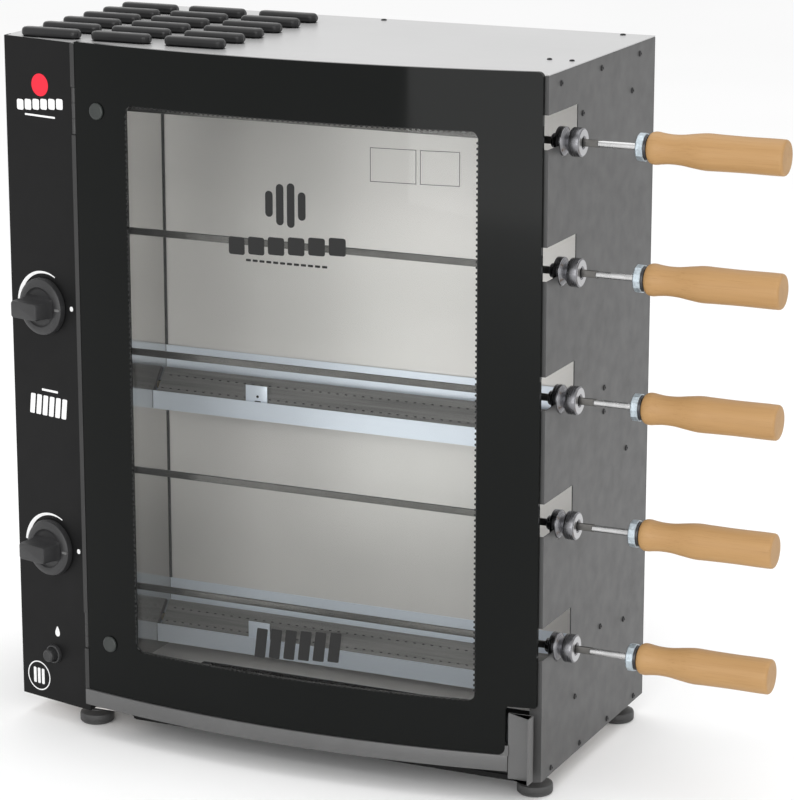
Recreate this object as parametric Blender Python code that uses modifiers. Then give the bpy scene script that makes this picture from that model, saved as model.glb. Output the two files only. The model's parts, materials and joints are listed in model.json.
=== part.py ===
"""Countertop gas rotisserie oven, modelled piece by piece.

Frame: metres, +Z up, +X towards the wooden spit handles, -Y is the door side.
The origin is on the surface the oven stands on, at the centre of its outline.
"""

import math

import bmesh
import bpy
from mathutils import Matrix, Vector

ASSEMBLY = "rotisserie_oven"

# ---- driving dimensions ----------------------------------------------------
GAP = 0.0003                    # clearance kept between pieces that touch
SHEET = 0.001                   # thickness of the folded sheet metal

BODY_LEFT = -0.386
BODY_RIGHT = 0.179
BODY_BACK = 0.153
BODY_FRONT = -0.117             # front edges of the side panel and base
BODY_BOTTOM = 0.021
BODY_TOP = 0.681

# control panel, seen from above: it runs slantwise from PANEL_A to PANEL_B
PANEL_A = Vector((BODY_LEFT, -0.0993))
PANEL_B = Vector((-0.2975, -0.1205))
PANEL_DIR = (PANEL_B - PANEL_A).normalized()
PANEL_OUT = Vector((PANEL_DIR.y, -PANEL_DIR.x))
PANEL_SHEET = 0.0012
PANEL_INSIDE = (0.0020, 0.0865)  # clear span behind the panel, from its left edge
PANEL_CLEARANCE = 0.0018        # how far the base and the top stay behind its face
LEFT_RETURN = 0.010             # folded edges of the panel
RIGHT_RETURN = 0.012

BASE_FRONT = -0.112
REAR_FLANGE = 0.013             # rear flanges of the side panel and back wall
SIDE_COVER_FLANGE = 0.008
SIDE_PANEL_FLANGE = 0.012
NOTCH_DEPTH = 0.071             # notch in the side panel for each spit, front to back
NOTCH_BELOW = 0.002             # and its reach below and above the spit's axis
NOTCH_ABOVE = 0.029
GAS_INLET = (-0.372, 0.060)     # where the gas pipe leaves the rear cover, as X and Z
INLET_HOLE_RADIUS = 0.0075
REAR_SLOT_SPAN = (-0.372, -0.337)
REAR_SLOT_BOTTOM = 0.55
REAR_SLOT_PITCH = 0.014
REAR_SLOT_HEIGHT = 0.004
REAR_SLOTS = 6
HINGE_CORNER = (-0.2812, -0.1215)  # step of the top sheet behind the door's hinge edge

# bowed glass door, an arc seen from above
ARC_CENTRE = Vector((-0.0757, 0.9473))
GLASS_RADIUS = 1.0984           # outer face of the glass
GLASS_THICKNESS = 0.004
DOOR_GAP = 0.0015               # between the glass and the top sheet's front edge
RAIL_RADIUS = 1.1003            # outer face of the metal rail under the glass
DOOR_LEFT = -0.2922
DOOR_RIGHT = 0.1755
GLASS_BOTTOM = 0.0475
GLASS_TOP = 0.684
RAIL_BOTTOM = 0.0315
RAIL_SPAN = (-0.2965, 0.1502)
RAIL_DEPTH = 0.0079
RAIL_WALL = 0.0015
PULL_SPAN = (0.1505, 0.1750)
PULL_HEIGHTS = (0.0245, 0.0890)
PULL_BACK = -0.1260             # the pull's plate and its flange, front to back
PULL_FRONT = -0.1290
PULL_FLANGE = -0.1385
GLASS_CORNER_RADIUS = 0.006
BUTTON_PLACES = {"upper": (-0.2664, 0.621), "lower": (-0.2649, 0.099)}
BUTTON_BORE_RADIUS = 0.0034
PULL_CUT_LEFT = 0.1475          # cut-out of the glass around the door pull
PULL_CUT_TOP = 0.0945
ARC_STEPS = 20

STILE_OUTLINE = ((-0.2968, -0.1300), (-0.2925, -0.1300), (-0.2925, -0.1250), (-0.2820, -0.1250),
                 (-0.2820, -0.1235), (-0.2968, -0.1225))
HINGE_LEAF = ((-0.2972, -0.1272), (-0.2962, -0.1095))
HINGE_AXIS = Vector((-0.2952, -0.1262))
HINGE_SPANS = {"upper": (0.596, 0.641), "lower": (0.089, 0.125)}
KNUCKLE_RADIUS = 0.0024
PIN_RADIUS = 0.0012
PIN_REACH = 0.006               # length of pin beyond each end of the knuckle

# spits and their gear train
SPIT_COUNT = 5
SPIT_Y = -0.077
SPIT_TOP_Z = 0.616
SPIT_PITCH = 0.1186
SPIT_Z = [SPIT_TOP_Z - SPIT_PITCH * row for row in range(SPIT_COUNT)]
BLADE_HEIGHT = 0.0066
BLADE_THICKNESS = 0.0026
BLADE_SPAN = (-0.3285, 0.214)   # from the drive socket to the round rod
SLOT_HALF_WIDTH = 0.0018        # slots of the bushes and hubs that take the blade
SLOT_HALF_HEIGHT = 0.0039
ROD_RADIUS = 0.0031
ROD_SPAN = (0.211, 0.302)       # from inside the blade's end to inside the handle
BUSH_RADIUS = 0.0132
BUSH_GROOVE_RADIUS = 0.0085
BUSH_NECK_RADIUS = 0.0066
BUSH_END = 0.197
POCKET_RADIUS = 0.0138
FERRULE_START = 0.2490
FERRULE_RADIUS = 0.0128
COLLAR_RADIUS = 0.0116
HANDLE_START = 0.2590
HANDLE_END = 0.386

GEAR_TEETH = 16
GEAR_PITCH_RADIUS = SPIT_PITCH / 4
GEAR_ADDENDUM = 0.0026
GEAR_DEDENDUM = 0.0034
GEAR_BACKLASH = 0.001
GEAR_FLANK = math.radians(24)
GEAR_SPAN = (-0.3310, -0.3265)
HUB_START = -0.3330
SOCKET_BOTTOM = -0.3295         # the spit's slot in a hub, and where that hub ends
SOCKET_END = -0.3160
IDLER_HUB_END = -0.3235
HUB_RADIUS = 0.008
HUB_HOLE_RADIUS = 0.0084
WALL_X = -0.3254                # drive side face of the cavity's left wall
WALL_FRONT = -0.104
WALL_FLANGE_END = -0.2995
BACK_WALL_Y = 0.0986            # cavity face of the back wall
CAVITY_BOTTOM = BODY_BOTTOM + SHEET + GAP
CAVITY_TOP = 0.6775
MOTOR_GEAR = 3                  # idler that the motor turns
MOTOR_SPAN = (-0.3780, -0.3350)
MOTOR_RADIUS = 0.020
MOTOR_PLATE_SIZE = (0.0025, 0.048, 0.052)
MOTOR_SHAFT_RADIUS = 0.0040
MOTOR_BORE_RADIUS = 0.0044

# burners: cross-section of the upper tray in Y and Z
BURNER_PATH = ((0.0662, 0.3005), (0.0662, 0.2815), (0.0973, 0.3185), (0.0973, 0.3417))
BURNER_DROP = 0.2495
BURNER_SPAN = (-0.3240, 0.1764)
BRACKET_SPAN = (-0.2195, -0.1955)
BRACKET_HEIGHT = 0.0245
FEED_HOLE_RADIUS = 0.0046
PIPE_X = -0.372                 # upright gas pipe
PIPE_Y = -0.045
PIPE_RADIUS = 0.005
BRANCH_RADIUS = 0.0035

KNOB_POSITIONS = {"upper": (0.0437, 0.423), "lower": (0.0450, 0.181)}
IGNITER_POSITION = (0.0441, 0.0703)
SHAFT_HOLE_RADIUS = 0.0052
BUTTON_HOLE_RADIUS = 0.0072

TRAY_SPAN = (-0.253, 0.1485)
TRAY_LIP_RIGHT = 0.157
TRAY_BOTTOM = 0.0172
TRAY_TOP = 0.0240
TRAY_BACK = 0.050
TRAY_LIP_TOP = 0.0222
TRAY_SHEET = 0.0012
RUNNER_REACH = 0.0085           # how far the tray's runners stand out at each side

FOOT_PLACES = {
    "front_left": (-0.3073, -0.0903),
    "front_right": (0.1625, -0.0903),
    "rear_left": (-0.3073, 0.126),
    "rear_right": (0.1625, 0.126),
}

HOOD_COLUMNS = (-0.3365, -0.2610, -0.1830)
HOOD_FIRST_ROW = -0.095
HOOD_ROW_PITCH = 0.0388
HOOD_ROWS = 6
HOOD_LENGTH = 0.0625
HOOD_WIDTH = 0.0135
HOOD_TOP = 0.690

STEEL = (0.62, 0.62, 0.61)
DARK_PAINT = (0.022, 0.022, 0.023)


# ---- helpers ---------------------------------------------------------------
def clear_scene():
    for old in list(bpy.data.objects):
        bpy.data.objects.remove(old, do_unlink=True)


def make_collection(name):
    group = bpy.data.collections.new(name)
    bpy.context.scene.collection.children.link(group)
    return group


def make_material(name, colour, roughness, metallic):
    material = bpy.data.materials.new(name)
    material.use_nodes = True
    shader = material.node_tree.nodes["Principled BSDF"]
    shader.inputs["Base Color"].default_value = (*colour, 1.0)
    shader.inputs["Roughness"].default_value = roughness
    shader.inputs["Metallic"].default_value = metallic
    return material


def add_mesh(name, shape, group):
    """Turn a bmesh into an object, with its faces pointing outwards."""
    bmesh.ops.recalc_face_normals(shape, faces=shape.faces)
    mesh = bpy.data.meshes.new(name)
    shape.to_mesh(mesh)
    shape.free()
    piece = bpy.data.objects.new(name, mesh)
    group.objects.link(piece)
    return piece


def finish(piece, look):
    colour, roughness, metallic = look
    piece.data.materials.append(make_material(piece.name + "_finish", colour, roughness, metallic))
    return piece


def box(name, low, high, group):
    low, high = Vector(low), Vector(high)
    shape = bmesh.new()
    bmesh.ops.create_cube(shape, size=1.0)
    size = high - low
    place = Matrix.Translation((low + high) / 2) @ Matrix.Diagonal((*size, 1.0))
    bmesh.ops.transform(shape, matrix=place, verts=shape.verts)
    return add_mesh(name, shape, group)


def cylinder(name, start, end, radius, group, segments=24):
    start, end = Vector(start), Vector(end)
    run = end - start
    shape = bmesh.new()
    bmesh.ops.create_cone(shape, cap_ends=True, segments=segments, radius1=radius, radius2=radius,
                          depth=run.length)
    turn = Vector((0, 0, 1)).rotation_difference(run).to_matrix().to_4x4()
    place = Matrix.Translation((start + end) / 2) @ turn
    bmesh.ops.transform(shape, matrix=place, verts=shape.verts)
    return add_mesh(name, shape, group)


PLANES = {
    "XY": lambda a, b, c: (a, b, c),
    "YZ": lambda a, b, c: (c, a, b),
    "XZ": lambda a, b, c: (a, c, b),
}


def prism(name, outline, plane, low, high, group):
    """A flat outline in one plane, pulled along the third axis from low to high."""
    to_space = PLANES[plane]
    shape = bmesh.new()
    ring = [shape.verts.new(to_space(a, b, low)) for a, b in outline]
    face = shape.faces.new(ring)
    pulled = bmesh.ops.extrude_face_region(shape, geom=[face])
    tops = [item for item in pulled["geom"] if isinstance(item, bmesh.types.BMVert)]
    shift = Vector(to_space(0.0, 0.0, high - low))
    bmesh.ops.translate(shape, verts=tops, vec=shift)
    return add_mesh(name, shape, group)


def bent_sheet(name, path, plane, low, high, group, thickness=SHEET):
    """An open path pulled into a strip; Solidify gives it thickness on its inner side."""
    to_space = PLANES[plane]
    shape = bmesh.new()
    first = [shape.verts.new(to_space(a, b, low)) for a, b in path]
    second = [shape.verts.new(to_space(a, b, high)) for a, b in path]
    for index in range(len(path) - 1):
        shape.faces.new((first[index], first[index + 1], second[index + 1], second[index]))
    mesh = bpy.data.meshes.new(name)
    shape.to_mesh(mesh)
    shape.free()
    piece = bpy.data.objects.new(name, mesh)
    group.objects.link(piece)
    shell = piece.modifiers.new("Thickness", "SOLIDIFY")
    shell.thickness = thickness
    shell.offset = -1
    shell.use_even_offset = True
    return piece


def turned(name, profile, place, group, steps=24, closed=False):
    """A turned piece: profile points (radius, height) spun about local Z by a Screw modifier."""
    shape = bmesh.new()
    points = [shape.verts.new((radius, 0.0, height)) for radius, height in profile]
    for first, second in zip(points, points[1:]):
        shape.edges.new((first, second))
    if closed:
        shape.edges.new((points[-1], points[0]))
    mesh = bpy.data.meshes.new(name)
    shape.to_mesh(mesh)
    shape.free()
    piece = bpy.data.objects.new(name, mesh)
    group.objects.link(piece)
    piece.matrix_world = place
    spin = piece.modifiers.new("Spin", "SCREW")
    spin.axis = "Z"
    spin.steps = steps
    spin.render_steps = steps
    spin.use_merge_vertices = True
    spin.merge_threshold = 0.00001
    spin.use_smooth_shade = True
    return piece


def facing(origin, direction):
    """Placement with local Z along a direction."""
    turn = Vector((0, 0, 1)).rotation_difference(Vector(direction)).to_matrix().to_4x4()
    return Matrix.Translation(Vector(origin)) @ turn


def combine(piece, tool, operation, cutters):
    """Boolean with a hidden tool object."""
    for group in list(tool.users_collection):
        group.objects.unlink(tool)
    cutters.objects.link(tool)
    tool.hide_render = True
    tool.display_type = "WIRE"
    step = piece.modifiers.new(operation.title(), "BOOLEAN")
    step.operation = operation
    step.solver = "EXACT"
    step.object = tool
    return piece


def bevel(piece, width, segments=2, angle=40):
    edge = piece.modifiers.new("Rounding", "BEVEL")
    edge.width = width
    edge.segments = segments
    edge.limit_method = "ANGLE"
    edge.angle_limit = math.radians(angle)
    return piece


def arc_points(radius, left, right, steps=ARC_STEPS):
    """Points on the door's arc between two X positions, left to right."""
    start = math.asin((left - ARC_CENTRE.x) / radius)
    end = math.asin((right - ARC_CENTRE.x) / radius)
    angles = [start + (end - start) * step / steps for step in range(steps + 1)]
    return [(ARC_CENTRE.x + radius * math.sin(a), ARC_CENTRE.y - radius * math.cos(a)) for a in angles]


def arc_y(radius, x):
    return ARC_CENTRE.y - math.sqrt(radius ** 2 - (x - ARC_CENTRE.x) ** 2)


def on_panel(along, depth=0.0):
    """Point of the control panel: distance from its left edge, and depth outwards."""
    return PANEL_A + PANEL_DIR * along + PANEL_OUT * depth


def capsule_outline(length, width, centre, corner_steps=3):
    """A long outline with round ends, in X and Y."""
    radius = width / 2
    reach = length / 2 - radius
    points = []
    for side, first in ((1, -90), (-1, 90)):
        for step in range(corner_steps + 1):
            angle = math.radians(first + 180 * step / corner_steps)
            points.append((centre[0] + side * reach + radius * math.cos(angle),
                           centre[1] + radius * math.sin(angle)))
    return points


# ---- casing ----------------------------------------------------------------
def hood_centres():
    rows = [HOOD_FIRST_ROW + HOOD_ROW_PITCH * row for row in range(HOOD_ROWS)]
    return [(x, y) for y in rows for x in HOOD_COLUMNS]


def behind_panel():
    """The slanted line just behind the control panel, ending at its right return."""
    start, corner = [on_panel(along, -PANEL_CLEARANCE) for along in PANEL_INSIDE]
    behind_return = PANEL_B.y + RIGHT_RETURN + GAP
    return [tuple(start), tuple(corner), (corner.x, behind_return), (PANEL_B.x + GAP, behind_return)]


def base_outline():
    """The base follows the slanted control panel and steps round its right return."""
    inner = SHEET + 2 * GAP
    left = BODY_LEFT + inner
    right = BODY_RIGHT - inner
    back = BODY_BACK - 2 * SHEET - 3 * GAP
    slant = behind_panel()
    return ([(left, back), (left, slant[0][1])] + slant
            + [(PANEL_B.x + GAP, BASE_FRONT), (right, BASE_FRONT), (right, back)])


def make_base_pan(parts, cutters):
    base = prism("base_pan", base_outline(), "XY", BODY_BOTTOM, BODY_BOTTOM + SHEET, parts)
    opening = box("cut_tray_opening", (TRAY_SPAN[0] - 0.0045, -0.120, 0.015),
                  (TRAY_SPAN[1] + 0.0045, TRAY_BACK + 0.002, 0.030), cutters)
    combine(base, opening, "DIFFERENCE", cutters)
    return finish(base, ((0.10, 0.10, 0.10), 0.45, 0.6))


def make_left_side_cover(parts):
    back = BODY_BACK - SHEET - GAP
    path = ((BODY_LEFT + SIDE_COVER_FLANGE, back), (BODY_LEFT, back),
            (BODY_LEFT, PANEL_A.y + LEFT_RETURN + GAP))
    cover = bent_sheet("left_side_cover", path, "XY", BODY_BOTTOM, BODY_TOP - SHEET - GAP, parts)
    return finish(cover, (DARK_PAINT, 0.45, 0.0))


def make_right_side_panel(parts, cutters):
    back = BODY_BACK - SHEET - GAP
    path = ((BODY_RIGHT - SIDE_PANEL_FLANGE, BODY_FRONT), (BODY_RIGHT, BODY_FRONT),
            (BODY_RIGHT, back), (BODY_RIGHT - REAR_FLANGE, back))
    panel = bent_sheet("right_side_panel", path, "XY", BODY_BOTTOM, BODY_TOP - SHEET - GAP, parts)
    for row, height in enumerate(SPIT_Z, 1):
        notch = box(f"cut_notch_{row}", (BODY_RIGHT - 0.03, BODY_FRONT - 0.01, height - NOTCH_BELOW),
                    (BODY_RIGHT + 0.01, BODY_FRONT + NOTCH_DEPTH, height + NOTCH_ABOVE), cutters)
        pocket = cylinder(f"cut_pocket_{row}", (BODY_RIGHT - 0.02, SPIT_Y, height),
                          (BODY_RIGHT + 0.02, SPIT_Y, height), POCKET_RADIUS, cutters, 20)
        combine(panel, notch, "DIFFERENCE", cutters)
        combine(panel, pocket, "DIFFERENCE", cutters)
    return finish(panel, ((0.13, 0.13, 0.13), 0.4, 0.3))


def make_rear_cover(parts, cutters):
    cover = box("rear_cover", (BODY_LEFT, BODY_BACK - SHEET, BODY_BOTTOM),
                (BODY_RIGHT, BODY_BACK, BODY_TOP - SHEET - GAP), parts)
    inlet_x, inlet_z = GAS_INLET
    inlet = cylinder("cut_gas_inlet", (inlet_x, BODY_BACK - 0.01, inlet_z),
                     (inlet_x, BODY_BACK + 0.01, inlet_z), INLET_HOLE_RADIUS, cutters)
    combine(cover, inlet, "DIFFERENCE", cutters)
    left, right = REAR_SLOT_SPAN
    for row in range(REAR_SLOTS):
        height = REAR_SLOT_BOTTOM + REAR_SLOT_PITCH * row
        slot = box(f"cut_rear_slot_{row}", (left, BODY_BACK - 0.01, height),
                   (right, BODY_BACK + 0.01, height + REAR_SLOT_HEIGHT), cutters)
        combine(cover, slot, "DIFFERENCE", cutters)
    return finish(cover, ((0.13, 0.13, 0.13), 0.45, 0.3))


def top_outline():
    """The top sheet follows the slanted control panel, the hinge corner and the door's bow."""
    slant = behind_panel()
    behind_left = PANEL_A.y + LEFT_RETURN + GAP
    edge = arc_points(GLASS_RADIUS - GLASS_THICKNESS - DOOR_GAP, HINGE_CORNER[0], BODY_RIGHT - 0.003)
    return ([(BODY_LEFT, BODY_BACK), (BODY_LEFT, behind_left), (slant[0][0], behind_left)] + slant
            + [(PANEL_B.x + GAP, HINGE_CORNER[1]), HINGE_CORNER] + edge
            + [(BODY_RIGHT, edge[-1][1]), (BODY_RIGHT, BODY_BACK)])


def make_top_panel(parts, cutters):
    top = prism("top_panel", top_outline(), "XY", BODY_TOP - SHEET, BODY_TOP, parts)
    slots = bmesh.new()
    for centre in hood_centres():
        outline = capsule_outline(HOOD_LENGTH + 2 * GAP, HOOD_WIDTH + 2 * GAP, centre)
        ring = [slots.verts.new((x, y, BODY_TOP - 0.01)) for x, y in outline]
        pulled = bmesh.ops.extrude_face_region(slots, geom=[slots.faces.new(ring)])
        tops = [item for item in pulled["geom"] if isinstance(item, bmesh.types.BMVert)]
        bmesh.ops.translate(slots, verts=tops, vec=(0.0, 0.0, 0.02))
    combine(top, add_mesh("cut_hood_slots", slots, cutters), "DIFFERENCE", cutters)
    return finish(top, ((0.66, 0.66, 0.66), 0.35, 0.5))


def hood_mesh(centre, length, width, base, top, side_inset, corner_steps):
    """One hood: a round-ended ridge whose upper edges are drawn in."""
    shape = bmesh.new()
    levels = ((base, 0.0), (top - side_inset, 0.0), (top, side_inset))
    rings = []
    for height, inset in levels:
        outline = capsule_outline(length - 2 * inset, width - 2 * inset, centre, corner_steps)
        rings.append([shape.verts.new((x, y, height)) for x, y in outline])
    for lower, upper in zip(rings, rings[1:]):
        count = len(lower)
        for index in range(count):
            following = (index + 1) % count
            shape.faces.new((lower[index], lower[following], upper[following], upper[index]))
    shape.faces.new(rings[0])
    shape.faces.new(rings[-1])
    return shape


def make_vent_louvres(parts, cutters):
    """A sheet under the top, whose hoods stand up through the slots and open to the rear."""
    sheet_top = BODY_TOP - SHEET - GAP
    louvres = box("vent_louvres", (-0.374, -0.1000, sheet_top - SHEET), (-0.146, 0.1080, sheet_top), parts)
    hoods = bmesh.new()
    hollows = bmesh.new()
    for centre in hood_centres():
        for target, shape in (
            (hoods, hood_mesh(centre, HOOD_LENGTH, HOOD_WIDTH, sheet_top - SHEET, HOOD_TOP, 0.004, 3)),
            (hollows, hood_mesh(centre, HOOD_LENGTH - 0.0060, HOOD_WIDTH - 0.0030,
                                sheet_top - 0.01, HOOD_TOP - 0.0012, 0.003, 1)),
        ):
            scratch = bpy.data.meshes.new("hood_scratch")
            shape.to_mesh(scratch)
            shape.free()
            target.from_mesh(scratch)
            bpy.data.meshes.remove(scratch)
    combine(louvres, add_mesh("join_hoods", hoods, cutters), "UNION", cutters)
    combine(louvres, add_mesh("cut_hood_hollows", hollows, cutters), "DIFFERENCE", cutters)
    mouths = bmesh.new()
    for x, y in hood_centres():
        cube = bmesh.ops.create_cube(mouths, size=1.0)
        place = Matrix.Translation((x, y + HOOD_WIDTH / 2, BODY_TOP + 0.0028))
        scale = Matrix.Diagonal((HOOD_LENGTH - 0.018, 0.006, 0.003, 1.0))
        bmesh.ops.transform(mouths, matrix=place @ scale, verts=cube["verts"])
    combine(louvres, add_mesh("cut_hood_mouths", mouths, cutters), "DIFFERENCE", cutters)
    return finish(louvres, ((0.03, 0.03, 0.03), 0.5, 0.0))


def make_control_panel(parts, cutters):
    path = ((BODY_LEFT, PANEL_A.y + LEFT_RETURN), tuple(PANEL_A), tuple(PANEL_B),
            (PANEL_B.x, PANEL_B.y + RIGHT_RETURN))
    panel = bent_sheet("control_panel", path, "XY", BODY_BOTTOM, BODY_TOP, parts, PANEL_SHEET)
    for name, (along, height) in KNOB_POSITIONS.items():
        drill_panel(panel, f"cut_shaft_{name}", along, height, SHAFT_HOLE_RADIUS, cutters)
    drill_panel(panel, "cut_button", *IGNITER_POSITION, BUTTON_HOLE_RADIUS, cutters)
    return finish(panel, (DARK_PAINT, 0.42, 0.0))


def drill_panel(panel, name, along, height, radius, cutters):
    outer = on_panel(along, 0.01)
    inner = on_panel(along, -0.01)
    drill = cylinder(name, (*outer, height), (*inner, height), radius, cutters)
    combine(panel, drill, "DIFFERENCE", cutters)


def make_cavity_left_wall(parts, cutters):
    path = ((WALL_X, BACK_WALL_Y - GAP), (WALL_X, WALL_FRONT), (WALL_FLANGE_END, WALL_FRONT))
    wall = bent_sheet("cavity_left_wall", path, "XY", CAVITY_BOTTOM, CAVITY_TOP, parts)
    for index, height in enumerate(shaft_heights(), 1):
        drill = cylinder(f"cut_shaft_hole_{index}", (WALL_X - 0.01, SPIT_Y, height),
                         (WALL_X + 0.01, SPIT_Y, height), HUB_HOLE_RADIUS, cutters, 16)
        combine(wall, drill, "DIFFERENCE", cutters)
    for index in range(2):
        y, z = burner_feed_place(index)
        drill = cylinder(f"cut_feed_hole_{index + 1}", (WALL_X - 0.01, y, z), (WALL_X + 0.01, y, z),
                         FEED_HOLE_RADIUS, cutters)
        combine(wall, drill, "DIFFERENCE", cutters)
    return finish(wall, (STEEL, 0.3, 1.0))


def make_cavity_back_wall(parts):
    behind = BACK_WALL_Y + REAR_FLANGE
    path = ((behind, CAVITY_TOP), (BACK_WALL_Y, CAVITY_TOP), (BACK_WALL_Y, CAVITY_BOTTOM),
            (behind, CAVITY_BOTTOM))
    wall = bent_sheet("cavity_back_wall", path, "YZ", WALL_X + SHEET + GAP, BODY_RIGHT - SHEET - GAP,
                      parts)
    return finish(wall, (STEEL, 0.25, 1.0))


# ---- door ------------------------------------------------------------------
def button_places():
    places = {}
    for name, (x, z) in BUTTON_PLACES.items():
        outward = Vector((x - ARC_CENTRE.x, arc_y(GLASS_RADIUS, x) - ARC_CENTRE.y, 0.0)).normalized()
        places[name] = (Vector((x, arc_y(GLASS_RADIUS, x), z)), outward)
    return places


def make_door_glass(parts, cutters):
    glass = bent_sheet("door_glass", arc_points(GLASS_RADIUS, DOOR_LEFT, DOOR_RIGHT), "XY",
                       GLASS_BOTTOM, GLASS_TOP, parts, GLASS_THICKNESS)
    cut = box("cut_pull_corner", (PULL_CUT_LEFT, -0.16, 0.02), (0.20, -0.10, PULL_CUT_TOP), cutters)
    combine(glass, cut, "DIFFERENCE", cutters)
    radius = GLASS_CORNER_RADIUS
    corner = [(DOOR_RIGHT + 0.01, GLASS_TOP - radius), (DOOR_RIGHT + 0.01, GLASS_TOP + 0.01),
              (DOOR_RIGHT - radius, GLASS_TOP + 0.01)]
    for step in range(5):
        angle = math.radians(90 - 22.5 * step)
        corner.append((DOOR_RIGHT - radius + radius * math.cos(angle),
                       GLASS_TOP - radius + radius * math.sin(angle)))
    combine(glass, prism("cut_glass_corner", corner, "XZ", -0.16, -0.10, cutters), "DIFFERENCE", cutters)
    for name, (centre, outward) in button_places().items():
        drill = cylinder(f"cut_glass_{name}", centre + outward * 0.01, centre - outward * 0.01,
                         BUTTON_BORE_RADIUS, cutters, 16)
        combine(glass, drill, "DIFFERENCE", cutters)
    return finish(glass, ((0.02, 0.02, 0.02), 0.08, 0.0))


def make_door_rail(parts, cutters):
    """Curved metal channel under the glass."""
    outer = arc_points(RAIL_RADIUS, *RAIL_SPAN)
    inner = arc_points(RAIL_RADIUS - RAIL_DEPTH, *RAIL_SPAN)
    rail = prism("door_rail", outer + inner[::-1], "XY", RAIL_BOTTOM, GLASS_BOTTOM - GAP, parts)
    channel_span = (RAIL_SPAN[0] + RAIL_WALL, RAIL_SPAN[1] - 2 * RAIL_WALL)
    channel_outer = arc_points(RAIL_RADIUS - RAIL_WALL, *channel_span)
    channel_inner = arc_points(RAIL_RADIUS - RAIL_DEPTH + RAIL_WALL, *channel_span)
    channel = prism("cut_rail_channel", channel_outer + channel_inner[::-1], "XY",
                    RAIL_BOTTOM - 0.005, GLASS_BOTTOM - GAP - RAIL_WALL, cutters)
    combine(rail, channel, "DIFFERENCE", cutters)
    return finish(rail, ((0.16, 0.16, 0.16), 0.4, 0.6))


def make_door_pull(parts):
    """Bent plate at the rail's free end, with a flange turned forward to pull on."""
    left, right = PULL_SPAN
    plate = [(left, PULL_FRONT), (right - RAIL_WALL, PULL_FRONT + 0.001), (right - RAIL_WALL, PULL_FLANGE),
             (right, PULL_FLANGE), (right, PULL_BACK), (left, PULL_BACK - 0.001)]
    pull = prism("door_pull", plate, "XY", *PULL_HEIGHTS, parts)
    return finish(pull, ((0.16, 0.16, 0.16), 0.4, 0.6))


def make_door_stile(parts, cutters):
    """Vertical strip on the hinge edge: a front strip and a leg behind the glass."""
    stile = prism("door_stile", STILE_OUTLINE, "XY", GLASS_BOTTOM, GLASS_TOP - 0.002, parts)
    for name, (bottom, top) in HINGE_SPANS.items():
        notch = box(f"cut_stile_{name}", (-0.30, -0.14, bottom - GAP), (-0.2922, -0.11, top + GAP), cutters)
        bore = cylinder(f"cut_stile_bore_{name}", (*HINGE_AXIS, bottom - PIN_REACH - 0.001),
                        (*HINGE_AXIS, top + PIN_REACH + 0.001), PIN_RADIUS + GAP, cutters, 12)
        combine(stile, notch, "DIFFERENCE", cutters)
        combine(stile, bore, "DIFFERENCE", cutters)
    return finish(stile, ((0.05, 0.05, 0.05), 0.45, 0.4))


def make_hinge(name, span, parts, cutters):
    """A leaf on the control panel's return, with a knuckle and a pin on the door's axis."""
    bottom, top = span
    hinge = box(f"hinge_{name}", (*HINGE_LEAF[0], bottom), (*HINGE_LEAF[1], top), parts)
    knuckle = cylinder(f"join_knuckle_{name}", (*HINGE_AXIS, bottom), (*HINGE_AXIS, top),
                       KNUCKLE_RADIUS, cutters, 16)
    pin = cylinder(f"join_pin_{name}", (*HINGE_AXIS, bottom - PIN_REACH),
                   (*HINGE_AXIS, top + PIN_REACH), PIN_RADIUS, cutters, 12)
    combine(hinge, knuckle, "UNION", cutters)
    combine(hinge, pin, "UNION", cutters)
    return finish(hinge, ((0.12, 0.12, 0.12), 0.4, 0.7))


def make_glass_button(name, centre, outward, parts):
    """Round clamp button: an outer head, a shank through the glass and an inner disc."""
    head, shank, back = 0.0080, 0.0030, 0.0065
    inner = -GLASS_THICKNESS - GAP
    profile = [(0.0, 0.0030), (0.0062, 0.0028), (head, 0.0014), (head, GAP), (shank, GAP),
               (shank, inner), (back, inner), (back, inner - 0.002), (0.0, inner - 0.002)]
    button = turned(f"glass_button_{name}", profile, facing(centre, outward), parts, 16)
    return finish(button, ((0.05, 0.06, 0.055), 0.3, 0.2))


# ---- spits -----------------------------------------------------------------
def along_x(x, height):
    return facing((x, SPIT_Y, height), (1, 0, 0))


def make_spit_rod(row, height, parts, cutters):
    """A flat blade that reaches into the drive socket, and a round rod into the handle."""
    half = (BLADE_THICKNESS / 2, BLADE_HEIGHT / 2)
    rod = box(f"spit_rod_{row}", (BLADE_SPAN[0], SPIT_Y - half[0], height - half[1]),
              (BLADE_SPAN[1], SPIT_Y + half[0], height + half[1]), parts)
    round_end = cylinder(f"join_rod_{row}", (ROD_SPAN[0], SPIT_Y, height),
                         (ROD_SPAN[1], SPIT_Y, height), ROD_RADIUS, cutters, 12)
    combine(rod, round_end, "UNION", cutters)
    return finish(rod, (STEEL, 0.3, 1.0))


def blade_slot(name, start, end, height, cutters):
    """Tool for a slot that the blade slides through with clearance."""
    return box(name, (start, SPIT_Y - SLOT_HALF_WIDTH, height - SLOT_HALF_HEIGHT),
               (end, SPIT_Y + SLOT_HALF_WIDTH, height + SLOT_HALF_HEIGHT), cutters)


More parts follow.
